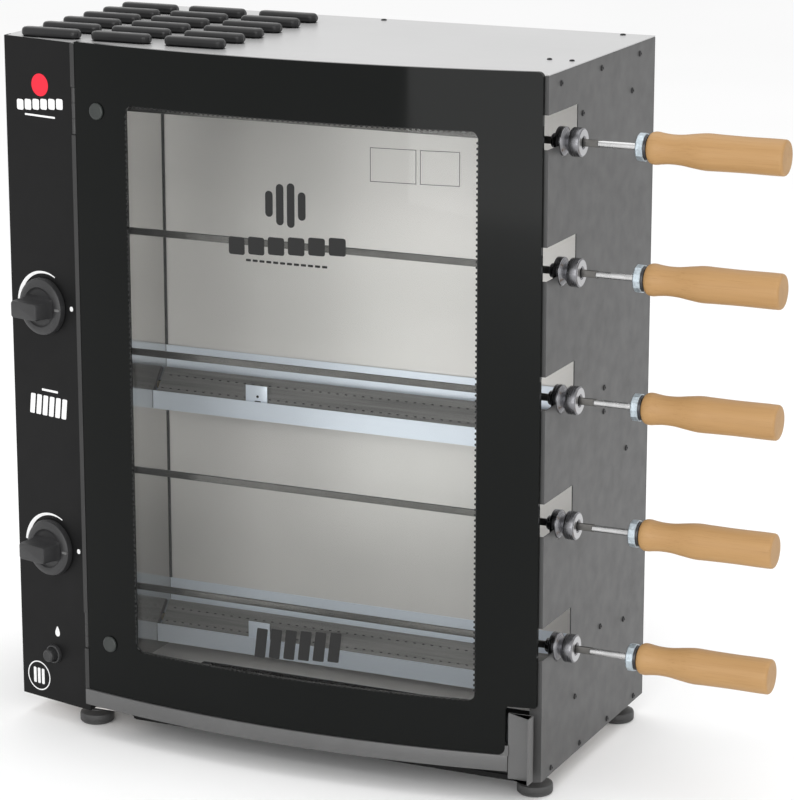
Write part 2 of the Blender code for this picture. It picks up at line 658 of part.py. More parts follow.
def make_spit_bush(row, height, parts, cutters):
    """Turned bush: a thin neck inside, then two flanges with a V groove between them."""
    profile = [(0.0, BUSH_END), (BUSH_RADIUS - 0.0008, BUSH_END), (BUSH_RADIUS, BUSH_END - 0.0008),
               (BUSH_RADIUS, 0.1872), (BUSH_GROOVE_RADIUS, 0.1834), (BUSH_RADIUS, 0.1798),
               (BUSH_RADIUS, 0.1734), (BUSH_NECK_RADIUS, 0.1727), (BUSH_NECK_RADIUS, 0.1672),
               (0.0, 0.1672)]
    bush = turned(f"spit_bush_{row}", profile, along_x(0.0, height), parts, 18)
    combine(bush, blade_slot(f"cut_bush_{row}", 0.160, 0.204, height, cutters), "DIFFERENCE", cutters)
    return finish(bush, ((0.72, 0.72, 0.71), 0.22, 1.0))


def make_spit_ferrule(row, height, parts):
    """Zinc collar between the rod and the wooden handle."""
    bore = ROD_RADIUS + GAP
    end = HANDLE_START - GAP
    profile = [(bore, end), (COLLAR_RADIUS, end), (COLLAR_RADIUS, end - 0.0022),
               (FERRULE_RADIUS, end - 0.0024), (FERRULE_RADIUS, FERRULE_START), (bore, FERRULE_START)]
    ferrule = turned(f"spit_ferrule_{row}", profile, along_x(0.0, height), parts, 12, closed=True)
    return finish(ferrule, ((0.55, 0.60, 0.63), 0.35, 1.0))


def handle_profile():
    """Turned wooden grip: a bead at the ferrule, a waist, then a long belly."""
    length = HANDLE_END - HANDLE_START
    stations = ((0.000, 0.0128), (0.025, 0.0143), (0.070, 0.0142), (0.150, 0.0134), (0.240, 0.0136),
                (0.375, 0.0163), (0.600, 0.0161), (0.980, 0.0161), (1.000, 0.0148))
    outer = [(radius, HANDLE_START + share * length) for share, radius in stations]
    bore = ROD_RADIUS + GAP
    bore_end = ROD_SPAN[1] + GAP * 2
    return ([(0.0, HANDLE_END)] + outer[::-1]
            + [(bore, HANDLE_START), (bore, bore_end), (0.0, bore_end)])


def make_spit_handle(row, height, parts):
    handle = turned(f"spit_handle_{row}", handle_profile(), along_x(0.0, height), parts, 16)
    return finish(handle, ((0.58, 0.38, 0.18), 0.55, 0.0))


# ---- drive -----------------------------------------------------------------
def shaft_heights():
    """Heights of all nine gear shafts, spit gears first and idlers after, from the top."""
    idlers = [height - SPIT_PITCH / 2 for height in SPIT_Z[:-1]]
    return SPIT_Z + idlers


def gear_outline(centre_z, phase):
    """Straight-flanked teeth, as (Y, Z) points."""
    half = math.pi * GEAR_PITCH_RADIUS / GEAR_TEETH / 2 - GEAR_BACKLASH / 2
    corners = ((-GEAR_DEDENDUM, -1), (GEAR_ADDENDUM, -1), (GEAR_ADDENDUM, 1), (-GEAR_DEDENDUM, 1))
    points = []
    for tooth in range(GEAR_TEETH):
        middle = 2 * math.pi * tooth / GEAR_TEETH + phase
        for height, side in corners:
            radius = GEAR_PITCH_RADIUS + height
            angle = middle + side * (half - height * math.tan(GEAR_FLANK)) / radius
            points.append((SPIT_Y + radius * math.cos(angle), centre_z + radius * math.sin(angle)))
    return points


def make_gear(name, height, phase, parts, cutters, socket=True):
    gear = prism(name, gear_outline(height, phase), "YZ", *GEAR_SPAN, parts)
    hub_end = SOCKET_END if socket else IDLER_HUB_END
    hub = cylinder(f"join_hub_{name}", (HUB_START, SPIT_Y, height), (hub_end, SPIT_Y, height),
                   HUB_RADIUS, cutters, 16)
    combine(gear, hub, "UNION", cutters)
    if socket:
        slot = blade_slot(f"cut_socket_{name}", SOCKET_BOTTOM, SOCKET_END + 0.006, height, cutters)
        combine(gear, slot, "DIFFERENCE", cutters)
    return finish(gear, ((0.45, 0.45, 0.44), 0.4, 1.0))


def make_gears(parts, cutters):
    """Drive gears and idlers alternate; each idler is turned half a tooth to mesh."""
    quarter = math.pi / 2
    for row, height in enumerate(SPIT_Z, 1):
        make_gear(f"drive_gear_{row}", height, quarter, parts, cutters)
    idler_phase = quarter + math.pi / GEAR_TEETH
    for row, height in enumerate(SPIT_Z[:-1], 1):
        gear = make_gear(f"idler_gear_{row}", height - SPIT_PITCH / 2, idler_phase, parts, cutters,
                         socket=False)
        if row == MOTOR_GEAR:
            bore = cylinder("cut_motor_bore", (-0.340, SPIT_Y, height - SPIT_PITCH / 2),
                            (-0.3255, SPIT_Y, height - SPIT_PITCH / 2), MOTOR_BORE_RADIUS, cutters, 16)
            combine(gear, bore, "DIFFERENCE", cutters)


def make_gear_motor(parts, cutters):
    height = SPIT_Z[MOTOR_GEAR - 1] - SPIT_PITCH / 2
    back, front = MOTOR_SPAN
    motor = cylinder("gear_motor", (back, SPIT_Y, height), (front, SPIT_Y, height), MOTOR_RADIUS,
                     parts, 32)
    shaft = cylinder("join_motor_shaft", (-0.340, SPIT_Y, height), (-0.3262, SPIT_Y, height),
                     MOTOR_SHAFT_RADIUS, cutters, 16)
    thick, deep, tall = MOTOR_PLATE_SIZE
    plate = box("join_motor_plate", (front - thick, SPIT_Y - deep / 2, height - tall / 2),
                (front, SPIT_Y + deep / 2, height + tall / 2), cutters)
    combine(motor, plate, "UNION", cutters)
    combine(motor, shaft, "UNION", cutters)
    return finish(motor, ((0.30, 0.30, 0.31), 0.45, 0.8))


# ---- burners and gas -------------------------------------------------------
def burner_feed_place(index):
    """Where a feed pipe enters the cavity, as Y and Z."""
    return (0.0805, 0.3035 - BURNER_DROP * index)


def make_burner_tray(name, drop, parts):
    path = [(y, z - drop) for y, z in BURNER_PATH]
    tray = bent_sheet(f"burner_tray_{name}", path, "YZ", *BURNER_SPAN, parts)
    return finish(tray, ((0.72, 0.74, 0.78), 0.18, 1.0))


def make_burner_tube(name, drop, parts, cutters):
    """Slanted burner bar lying in its tray, with the igniter bracket standing on it."""
    start = Vector((0.0662, 0.2815 - drop))
    end = Vector((0.0973, 0.3185 - drop))
    run = (end - start).normalized()
    lift = Vector((-run.y, run.x))
    corners = [start + run * 0.0112 + lift * 0.0016, end - run * 0.0030 + lift * 0.0016,
               end - run * 0.0030 + lift * 0.0070, start + run * 0.0112 + lift * 0.0070]
    bar = prism(f"burner_tube_{name}", [tuple(point) for point in corners], "YZ",
                BURNER_SPAN[0] + 0.002, BURNER_SPAN[1] - 0.004, parts)
    foot = start + run * 0.0135 + lift * 0.004
    bracket = box(f"join_bracket_{name}", (BRACKET_SPAN[0], foot.x - PANEL_SHEET / 2, foot.y),
                  (BRACKET_SPAN[1], foot.x + PANEL_SHEET / 2, foot.y + BRACKET_HEIGHT), cutters)
    combine(bar, bracket, "UNION", cutters)
    return finish(bar, ((0.12, 0.12, 0.12), 0.6, 0.6))


def tube(name, points, radius, cutters):
    """A bent pipe made as a curve, then turned into a closed mesh."""
    curve = bpy.data.curves.new(name, "CURVE")
    curve.dimensions = "3D"
    curve.bevel_depth = radius
    curve.bevel_resolution = 2
    curve.use_fill_caps = True
    line = curve.splines.new("POLY")
    line.points.add(len(points) - 1)
    for point, place in zip(line.points, points):
        point.co = (*place, 1.0)
    guide = bpy.data.objects.new(name + "_guide", curve)
    cutters.objects.link(guide)
    bpy.context.view_layer.update()
    mesh = bpy.data.meshes.new_from_object(guide.evaluated_get(bpy.context.evaluated_depsgraph_get()))
    bpy.data.objects.remove(guide, do_unlink=True)
    shape = bmesh.new()
    shape.from_mesh(mesh)
    bpy.data.meshes.remove(mesh)
    bmesh.ops.remove_doubles(shape, verts=shape.verts, dist=0.00001)
    return add_mesh(name, shape, cutters)


def make_gas_manifold(parts, cutters):
    """Feed pipe from the rear inlet, a valve behind each knob and a pipe to each burner."""
    manifold = cylinder("gas_manifold", (PIPE_X, PIPE_Y, 0.055), (PIPE_X, PIPE_Y, 0.435), PIPE_RADIUS,
                        parts, 16)
    inlet_x, inlet_z = GAS_INLET
    inlet = cylinder("join_inlet", (inlet_x, PIPE_Y, inlet_z), (inlet_x, BODY_BACK, inlet_z),
                     PIPE_RADIUS - 0.0005, cutters, 16)
    combine(manifold, inlet, "UNION", cutters)
    for index, (name, (along, height)) in enumerate(KNOB_POSITIONS.items()):
        front = on_panel(along, -0.0022)
        rear = on_panel(along, -0.0180)
        body = cylinder(f"join_valve_{name}", (*front, height), (*rear, height), 0.0070, cutters, 16)
        middle = on_panel(along, -0.0120)
        branch = cylinder(f"join_branch_{name}", (PIPE_X, PIPE_Y, height),
                          (middle.x, middle.y, height), BRANCH_RADIUS, cutters, 12)
        y, z = burner_feed_place(index)
        x = -0.3450
        feed = tube(f"join_feed_{name}", [(rear.x, rear.y - 0.003, height), (x, -0.050, height),
                                          (x, y - 0.012, height), (x, y, height - 0.012),
                                          (x, y, z + 0.010), (x + 0.008, y, z), (WALL_X + SHEET, y, z)],
                    BRANCH_RADIUS, cutters)
        combine(manifold, body, "UNION", cutters)
        combine(manifold, branch, "UNION", cutters)
        combine(manifold, feed, "UNION", cutters)
    return finish(manifold, ((0.62, 0.50, 0.25), 0.35, 1.0))


# ---- controls --------------------------------------------------------------
def make_knob(name, along, height, parts, cutters):
    """Skirted knob with a bar across it and a shaft through the panel."""
    origin = on_panel(along, GAP * 2)
    place = facing((*origin, height), (*PANEL_OUT, 0.0))
    profile = [(0.0, 0.0085), (0.0190, 0.0085), (0.0205, 0.0070), (0.0250, 0.0066),
               (0.0274, 0.0050), (0.0280, 0.0028), (0.0280, 0.0), (0.0036, 0.0),
               (0.0036, -0.0012 - 4 * GAP), (0.0, -0.0012 - 4 * GAP)]
    knob = turned(f"knob_{name}", profile, place, parts, 24)
    bar = box(f"join_bar_{name}", (-0.0085, -0.0195, 0.004), (0.0085, 0.0195, 0.0300), cutters)
    bar.matrix_world = place @ knob_roll(place)
    bevel(bar, 0.0016, 1)
    combine(knob, bar, "UNION", cutters)
    return finish(knob, ((0.035, 0.035, 0.037), 0.4, 0.0))


def knob_roll(place):
    """Roll about the knob's own axis that lays the bar level."""
    level = place.to_3x3().inverted() @ Vector((*PANEL_DIR, 0.0))
    return Matrix.Rotation(math.atan2(level.y, level.x) - math.pi / 2, 4, "Z")


def make_igniter_button(parts):
    along, height = IGNITER_POSITION
    place = facing((*on_panel(along), height), (*PANEL_OUT, 0.0))
    profile = [(0.0, 0.0112), (0.0040, 0.0110), (0.0062, 0.0100), (0.0068, 0.0085), (0.0068, -0.010),
               (0.0, -0.010)]
    button = turned("igniter_button", profile, place, parts, 16)
    return finish(button, ((0.04, 0.04, 0.042), 0.35, 0.0))


# ---- tray and feet ---------------------------------------------------------
def make_drip_tray(parts, cutters):
    left, right = TRAY_SPAN
    tray = box("drip_tray", (left, -0.113, TRAY_BOTTOM), (right, TRAY_BACK, TRAY_TOP), parts)
    hollow = box("cut_tray", (left + TRAY_SHEET, -0.113 + TRAY_SHEET, TRAY_BOTTOM + TRAY_SHEET),
                 (right - TRAY_SHEET, TRAY_BACK - TRAY_SHEET, TRAY_TOP + 0.01), cutters)
    combine(tray, hollow, "DIFFERENCE", cutters)
    runner_bottom = BODY_BOTTOM + SHEET + GAP * 2
    for name, low, high in (("left", left - RUNNER_REACH, left + 0.0008),
                            ("right", right - 0.0008, right + RUNNER_REACH)):
        runner = box(f"join_runner_{name}", (low, -0.112, runner_bottom),
                     (high, TRAY_BACK, runner_bottom + TRAY_SHEET), cutters)
        combine(tray, runner, "UNION", cutters)
    radius = 0.003
    bottom, top = TRAY_BOTTOM, TRAY_LIP_TOP
    lip = [(left, top), (left, bottom + radius), (left + radius, bottom),
           (TRAY_LIP_RIGHT - radius, bottom), (TRAY_LIP_RIGHT, bottom + radius), (TRAY_LIP_RIGHT, top)]
    combine(tray, prism("join_tray_lip", lip, "XZ", -0.1146, -0.1124, cutters), "UNION", cutters)
    return finish(tray, ((0.02, 0.02, 0.02), 0.5, 0.2))


def make_foot(name, place, parts):
    profile = [(0.0, BODY_BOTTOM - GAP), (0.0042, BODY_BOTTOM - GAP), (0.0042, 0.0135),
               (0.0095, 0.0125), (0.0160, 0.0100), (0.0170, 0.0085), (0.0170, 0.0022),
               (0.0155, 0.0), (0.0, 0.0)]
    foot = turned(f"foot_{name}", profile, Matrix.Translation((*place, 0.0)), parts, 20)
    return finish(foot, ((0.07, 0.07, 0.07), 0.55, 0.0))


def build():
    clear_scene()
    parts = make_collection(ASSEMBLY)
    cutters = make_collection("cutters")
    make_base_pan(parts, cutters)
    make_left_side_cover(parts)
    make_right_side_panel(parts, cutters)
    make_rear_cover(parts, cutters)
    make_top_panel(parts, cutters)
    make_vent_louvres(parts, cutters)
    make_control_panel(parts, cutters)
    make_cavity_left_wall(parts, cutters)
    make_cavity_back_wall(parts)
    make_door_glass(parts, cutters)
    make_door_rail(parts, cutters)
    make_door_pull(parts)
    make_door_stile(parts, cutters)
    for name, span in HINGE_SPANS.items():
        make_hinge(name, span, parts, cutters)
    for name, (centre, outward) in button_places().items():
        make_glass_button(name, centre, outward, parts)
    for row, height in enumerate(SPIT_Z, 1):
        make_spit_rod(row, height, parts, cutters)
        make_spit_bush(row, height, parts, cutters)
        make_spit_ferrule(row, height, parts)
        make_spit_handle(row, height, parts)
    make_gears(parts, cutters)
    make_gear_motor(parts, cutters)
    for name, drop in (("upper", 0.0), ("lower", BURNER_DROP)):
        make_burner_tray(name, drop, parts)
        make_burner_tube(name, drop, parts, cutters)
    make_gas_manifold(parts, cutters)
    for name, (along, height) in KNOB_POSITIONS.items():
        make_knob(name, along, height, parts, cutters)
    make_igniter_button(parts)
    make_drip_tray(parts, cutters)
    for name, place in FOOT_PLACES.items():
        make_foot(name, place, parts)


build()
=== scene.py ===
"""Looks of the countertop gas rotisserie oven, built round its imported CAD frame.

Metres, +Z up, +X towards the wooden handles, -Y is the door side.
"""

import json
import math

import bmesh
import bpy
from mathutils import Matrix, Vector


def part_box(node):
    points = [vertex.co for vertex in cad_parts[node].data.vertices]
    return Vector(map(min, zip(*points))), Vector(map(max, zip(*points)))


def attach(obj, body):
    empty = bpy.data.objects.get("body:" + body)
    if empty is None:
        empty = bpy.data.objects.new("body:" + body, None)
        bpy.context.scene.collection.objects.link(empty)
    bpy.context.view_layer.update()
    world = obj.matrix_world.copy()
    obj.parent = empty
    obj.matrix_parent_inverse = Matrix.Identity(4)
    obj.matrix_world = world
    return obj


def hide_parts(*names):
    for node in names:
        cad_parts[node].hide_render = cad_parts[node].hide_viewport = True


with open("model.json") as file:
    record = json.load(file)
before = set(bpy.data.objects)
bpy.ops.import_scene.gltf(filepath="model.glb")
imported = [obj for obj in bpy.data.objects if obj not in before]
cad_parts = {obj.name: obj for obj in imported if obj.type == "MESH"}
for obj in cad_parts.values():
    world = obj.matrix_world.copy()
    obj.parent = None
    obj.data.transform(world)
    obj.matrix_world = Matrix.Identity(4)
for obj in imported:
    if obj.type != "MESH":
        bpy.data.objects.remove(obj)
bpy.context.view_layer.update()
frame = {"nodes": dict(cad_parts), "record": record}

# ---- places taken from the CAD ----------------------------------------------
SPIT_ROWS = range(1, 6)
BURNERS = ("upper", "lower")
SIDE_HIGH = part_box("right_side_panel")[1]
TOP_LOW, TOP_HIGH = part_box("top_panel")
GLASS_LOW, GLASS_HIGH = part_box("door_glass")
RAIL_LOW, RAIL_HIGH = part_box("door_rail")
PULL_LOW, PULL_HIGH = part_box("door_pull")
VENT_LOW, VENT_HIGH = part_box("vent_louvres")
REAR_LOW, REAR_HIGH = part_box("rear_cover")
COVER_LOW, COVER_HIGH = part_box("left_side_cover")
BACK_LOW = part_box("cavity_back_wall")[0]
WALL_LOW, WALL_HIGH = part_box("cavity_left_wall")

# ---- door -------------------------------------------------------------------
ARC_CENTRE = Vector((-0.0757, 0.9473))   # centre of the door's bow, seen from above
GLASS_RADIUS = 1.0984
GLASS_THICKNESS = 0.004
RAIL_RADIUS = 1.1003
RAIL_DEPTH = 0.0079
RAIL_WALL = 0.0015
PULL_CUT = (0.1475, 0.0945)              # X and Z of the glass's cut-out corner
PULL_CORNER_RADIUS = 0.008
GLASS_CORNER_RADIUS = 0.006
PANE_INSET = 0.0001                      # of the clear pane behind the border's faces
WINDOW = (-0.2336, 0.1188, 0.0975, 0.6290)   # left, right, bottom, top
WINDOW_CORNER_RADIUS = 0.007
FRIT_DOT_PITCH = 0.0051
STRIPS = 72                              # flat strips that follow the bow

# ---- control panel: it runs slantwise from A to B ---------------------------
PANEL_A = Vector((-0.386, -0.0993))
PANEL_B = Vector((-0.2975, -0.1205))
PANEL_DIR = (PANEL_B - PANEL_A).normalized()
PANEL_OUT = Vector((PANEL_DIR.y, -PANEL_DIR.x))
PANEL_NORMAL = (PANEL_OUT.x, PANEL_OUT.y, 0.0)
KNOB_PLACES = {"upper": (0.0437, 0.423), "lower": (0.0450, 0.181)}
IGNITER_PLACE = (0.0441, 0.0703)
SCALE_RADIUS = 0.0330                    # of the heat scale round each knob
EMBLEM_RADII = (0.0140, 0.0152)

# ---- vents ------------------------------------------------------------------
HOOD_COLUMNS = (-0.3365, -0.2610, -0.1830)
HOOD_ROWS = [-0.095 + 0.0388 * row for row in range(6)]
HOOD_PLACES = [(x, y) for y in HOOD_ROWS for x in HOOD_COLUMNS]
HOOD_LENGTH = 0.0625
HOOD_WIDTH = 0.0135

# ---- rear and left covers: each has a field pressed in, with ribs across it ---
PRESS_DEPTH = 0.0016
PRESS_SLOPE = 0.0025                     # run of the field's sloping rim
LEFT_SHEET = 0.001
REAR_FIELD = (-0.318, 0.152, 0.055, 0.645)   # left, right, bottom, top
LEFT_FIELD = (-0.066, 0.128, 0.050, 0.650)   # front, back, bottom, top
REAR_SLOTS = 6
REAR_SLOT_SIZE = (0.035, 0.004)
REAR_SLOT_PLACE = (-0.3545, 0.552)       # X and Z of the lowest slot
REAR_SLOT_PITCH = 0.014
GAS_INLET = (-0.372, 0.060)              # X and Z
INLET_HOLE_RADIUS = 0.0075

# ---- screws and hinges ------------------------------------------------------
SIDE_SCREWS = ((-0.0877, 0.6696), (0.0119, 0.6693), (0.1114, 0.6693), (0.0926, 0.6371),
               (-0.0344, 0.6349), (0.0313, 0.3644), (0.0312, 0.3412), (0.0935, 0.2901),
               (0.0312, 0.1283), (0.0942, 0.1165), (-0.0334, 0.0783), (0.1267, 0.0268),
               (0.0535, 0.0271), (-0.0195, 0.0270), (-0.0924, 0.0273))   # Y and Z
HINGE_AXIS = (-0.2952, -0.1262)          # X and Y

# ---- spits ------------------------------------------------------------------
BLADE_HALF = (0.0013, 0.0033)            # half thickness and half height of the flat blade
BLADE_END = 0.2130
ROD_START = 0.2105
ROD_RADIUS = 0.0031
BORE_RADIUS = 0.0034
NUT_RADIUS = 0.0128
COLLAR_RADIUS = 0.0116
HANDLE_STATIONS = ((0.000, 0.0106), (0.012, 0.0130), (0.032, 0.0144), (0.062, 0.0147), (0.100, 0.0140),
                   (0.160, 0.0133), (0.240, 0.0136), (0.330, 0.0152), (0.420, 0.0165), (0.520, 0.0163),
                   (0.700, 0.0160), (0.900, 0.0162), (0.978, 0.0161))   # share of length, radius

# ---- burners: Y and Z of the upper bar's lower and upper end -----------------
BURNER_FOOT = Vector((0.0662, 0.2815))
BURNER_HEAD = Vector((0.0973, 0.3185))
PORTS_IN_ROW = 52
PORT_ROWS = (0.021, 0.036)               # distances up the bar
BRACKET_SPAN = (-0.2195, -0.1955)

# ---- camera -----------------------------------------------------------------
CAMERA_PLACE = (1.2175, -2.7161, 1.1096)
CAMERA_AZIMUTH = 24.508                  # degrees to the right of straight on
CAMERA_ELEVATION = 14.489
CAMERA_LENS = 144.7

WHITE = (1.0, 1.0, 1.0)


# ---- materials --------------------------------------------------------------
class Surface:
    """One Principled material, with short names for wiring its patterns."""

    def __init__(self, name, roughness, metallic=0.0, specular=0.5, coat=0.0):
        self.material = bpy.data.materials.new(name)
        self.material.use_nodes = True
        self.tree = self.material.node_tree
        self.shader = self.tree.nodes["Principled BSDF"]
        self.shader.inputs["Roughness"].default_value = roughness
        self.shader.inputs["Metallic"].default_value = metallic
        self.shader.inputs["Specular IOR Level"].default_value = specular
        self.shader.inputs["Coat Weight"].default_value = coat

    def node(self, kind, **inputs):
        made = self.tree.nodes.new(kind)
        for name, value in inputs.items():
            self.feed(made.inputs[name.replace("_", " ")], value)
        return made

    def feed(self, socket, value):
        if isinstance(value, bpy.types.NodeSocket):
            self.tree.links.new(value, socket)
        else:
            socket.default_value = value

    def place(self, stretch=(1.0, 1.0, 1.0)):
        """Metres along each axis of the object, stretched."""
        source = self.node("ShaderNodeTexCoord")
        return self.node("ShaderNodeMapping", Vector=source.outputs["Object"], Scale=stretch).outputs[0]

    def noise(self, vector, scale, detail=2.0, rough=0.5):
        made = self.node("ShaderNodeTexNoise", Vector=vector, Scale=scale, Detail=detail, Roughness=rough)
        return made.outputs["Fac"]

    def ramp(self, value, stops):
        made = self.node("ShaderNodeValToRGB", Fac=value)
        while len(made.color_ramp.elements) < len(stops):
            made.color_ramp.elements.new(0.5)
        for element, (position, colour) in zip(made.color_ramp.elements, stops):
            element.position = position
            element.color = (*colour, 1.0)
        return made.outputs["Color"]

    def spread(self, value, low, high, start=0.3, end=0.7):
        """Maps a 0 to 1 pattern onto a range of numbers."""
        made = self.node("ShaderNodeMapRange", Value=value)
        made.inputs["From Min"].default_value = start
        made.inputs["From Max"].default_value = end
        made.inputs["To Min"].default_value = low
        made.inputs["To Max"].default_value = high
        return made.outputs["Result"]

    def mix(self, factor, first, second, how="MIX"):
        made = self.tree.nodes.new("ShaderNodeMix")
        made.data_type = "RGBA"
        made.blend_type = how
        self.feed(made.inputs[0], factor)
        self.feed(made.inputs[6], first)
        self.feed(made.inputs[7], second)
        return made.outputs[2]

    def colour(self, value):
        self.feed(self.shader.inputs["Base Color"], value)

    def roughness(self, value):
        self.feed(self.shader.inputs["Roughness"], value)

    def bump(self, height, strength, distance, under=None):
        made = self.node("ShaderNodeBump", Height=height, Strength=strength, Distance=distance)
        if under is not None:
            self.feed(made.inputs["Normal"], under)
        self.feed(self.shader.inputs["Normal"], made.outputs["Normal"])
        return made.outputs["Normal"]


def shade(colour, factor):
    return tuple(min(1.0, channel * factor) for channel in colour)


def powder_coat(name, colour, roughness, metallic=0.0, specular=0.5, spread=0.08):
    """Satin powder coat: faint cloudy tone, orange-peel texture and finger-soft gloss changes."""
    look = Surface(name, roughness, metallic, specular)
    cloud = look.noise(look.place(), 14.0, 4.0, 0.6)
    look.colour(look.ramp(cloud, [(0.3, shade(colour, 1 - spread)), (0.7, shade(colour, 1 + spread))]))
    gloss = look.noise(look.place(), 55.0, 3.0)
    look.roughness(look.spread(gloss, roughness - 0.05, roughness + 0.06))
    peel = look.noise(look.place(), 1500.0, 2.0)
    look.bump(peel, 0.12, 0.0002)
    return look.material


def brushed(name, colour, roughness, along, streak=0.10, metallic=1.0, relief=0.10):
    """Sheet steel with long fine lines along one axis and slow changes of tone."""
    look = Surface(name, roughness, metallic)
    stretch = [700.0, 700.0, 700.0]
    stretch[along] = 5.0
    lines = look.noise(look.place(stretch), 1.0, 3.0, 0.65)
    fine = look.ramp(lines, [(0.25, shade(colour, 1 - streak)), (0.75, shade(colour, 1 + streak))])
    cloud = look.noise(look.place(), 7.0, 3.0, 0.55)
    tone = look.ramp(cloud, [(0.3, (0.95, 0.95, 0.95)), (0.7, WHITE)])
    look.colour(look.mix(1.0, fine, tone, "MULTIPLY"))
    look.roughness(look.spread(lines, roughness - relief / 2, roughness + relief / 2))
    look.bump(lines, relief, 0.0001)
    return look.material


def turned_metal(name, colour, roughness, tool_marks=2200.0):
    """Metal turned in a lathe about X: fine rings of tool marks."""
    look = Surface(name, roughness, 1.0)
    rings = look.noise(look.place((tool_marks, 40.0, 40.0)), 1.0, 2.0)
    look.colour(look.ramp(rings, [(0.3, shade(colour, 0.88)), (0.7, shade(colour, 1.08))]))
    look.roughness(look.spread(rings, roughness - 0.05, roughness + 0.10))
    look.bump(rings, 0.15, 0.0001)
    return look.material


def zinc_plate(name, colour):
    """Zinc plating: crystalline patches in slightly different greys."""
    look = Surface(name, 0.34, 0.8)
    cells = look.node("ShaderNodeTexVoronoi", Vector=look.place(), Scale=420.0)
    patch = look.ramp(cells.outputs["Color"], [(0.2, shade(colour, 0.85)), (0.8, shade(colour, 1.12))])
    look.colour(patch)
    haze = look.noise(look.place(), 240.0, 3.0)
    look.roughness(look.spread(haze, 0.28, 0.45))
    look.bump(haze, 0.06, 0.0001)
    return look.material


def moulded_plastic(name, colour, roughness, grain=1100.0):
    """Moulded plastic with a fine spark-eroded texture."""
    look = Surface(name, roughness, 0.0, 0.45)
    cloud = look.noise(look.place(), 60.0, 3.0)
    look.colour(look.ramp(cloud, [(0.3, shade(colour, 0.9)), (0.7, shade(colour, 1.12))]))
    pits = look.noise(look.place(), grain, 3.0, 0.6)
    look.roughness(look.spread(pits, roughness - 0.05, roughness + 0.08))
    look.bump(pits, 0.18, 0.0002)
    return look.material


def turned_wood(name):
    """Light hardwood with its grain along X, fine pores and a satin varnish."""
    look = Surface(name, 0.5, 0.0, 0.4)
    warp = look.noise(look.place((3.0, 14.0, 14.0)), 1.0, 3.0)
    bent = look.mix(0.10, look.place((2.2, 60.0, 60.0)), warp, "ADD")
    bands = look.noise(bent, 1.0, 4.0, 0.62)
    body = look.ramp(bands, [(0.25, (0.330, 0.184, 0.068)), (0.50, (0.372, 0.212, 0.081)),
                             (0.75, (0.410, 0.240, 0.096))])
    fibres = look.noise(look.place((18.0, 900.0, 900.0)), 1.0, 3.0, 0.7)
    pores = look.ramp(fibres, [(0.30, (0.80, 0.76, 0.70)), (0.46, WHITE)])
    look.colour(look.mix(0.6, body, pores, "MULTIPLY"))
    look.roughness(look.spread(fibres, 0.56, 0.44))
    look.bump(fibres, 0.12, 0.0002)
    return look.material


def black_glass(name):
    """Glass printed black from behind: deep gloss with very faint waviness."""
    look = Surface(name, 0.06, 0.0, 0.10)
    cloud = look.noise(look.place(), 5.0, 2.0)
    look.colour(look.ramp(cloud, [(0.3, (0.0048, 0.0054, 0.0051)), (0.7, (0.0058, 0.0064, 0.0061))]))
    wave = look.noise(look.place(), 9.0, 1.0)
    look.roughness(look.spread(wave, 0.05, 0.09))
    look.bump(wave, 0.02, 0.002)
    return look.material


def clear_glass(name):
    """Thin clear pane: what is behind shows through, and its gloss follows the angle."""
    look = Surface(name, 0.04)
    cloud = look.noise(look.place(), 6.0, 2.0)
    tint = look.ramp(cloud, [(0.3, (0.955, 0.965, 0.960)), (0.7, (0.975, 0.980, 0.978))])
    clear = look.node("ShaderNodeBsdfTransparent", Color=tint)
    gloss = look.node("ShaderNodeBsdfGlossy", Color=(*WHITE, 1.0), Roughness=0.03)
    angle = look.node("ShaderNodeFresnel", IOR=1.22)
    both = look.node("ShaderNodeMixShader", Fac=angle.outputs["Fac"])
    look.tree.links.new(clear.outputs[0], both.inputs[1])
    look.tree.links.new(gloss.outputs[0], both.inputs[2])
    output = look.tree.nodes["Material Output"]
    look.tree.links.new(both.outputs[0], output.inputs["Surface"])
    look.tree.nodes.remove(look.shader)
    return look.material


def burnt_steel(name):
    """Heat-darkened burner steel: long streaks from brown-grey to blue-black."""
    look = Surface(name, 0.5, 0.45)
    streaks = look.noise(look.place((6.0, 260.0, 260.0)), 1.0, 4.0, 0.7)
    look.colour(look.ramp(streaks, [(0.25, (0.150, 0.146, 0.144)), (0.50, (0.235, 0.228, 0.222)),
                                    (0.78, (0.330, 0.320, 0.310))]))
    look.roughness(look.spread(streaks, 0.35, 0.6))
    look.bump(streaks, 0.15, 0.0002)
    return look.material


def print_ink(name, colour, roughness=0.55):
    """Screen-printed ink with a slightly uneven film."""
    look = Surface(name, roughness, 0.0, 0.3)
    film = look.noise(look.place(), 500.0, 2.0)
    look.colour(look.ramp(film, [(0.3, shade(colour, 0.9)), (0.7, colour)]))
    look.bump(film, 0.05, 0.0001)
    return look.material


def recess_shade(name, colour):
    """Painted shade for slots, ports and openings that are not cut: a near-black patch with a fine mottled
    tone.
    """
    look = Surface(name, 0.6, 0.0, 0.2)
    film = look.noise(look.place(), 300.0, 2.0)
    look.colour(look.ramp(film, [(0.3, shade(colour, 0.8)), (0.7, shade(colour, 1.2))]))
    return look.material


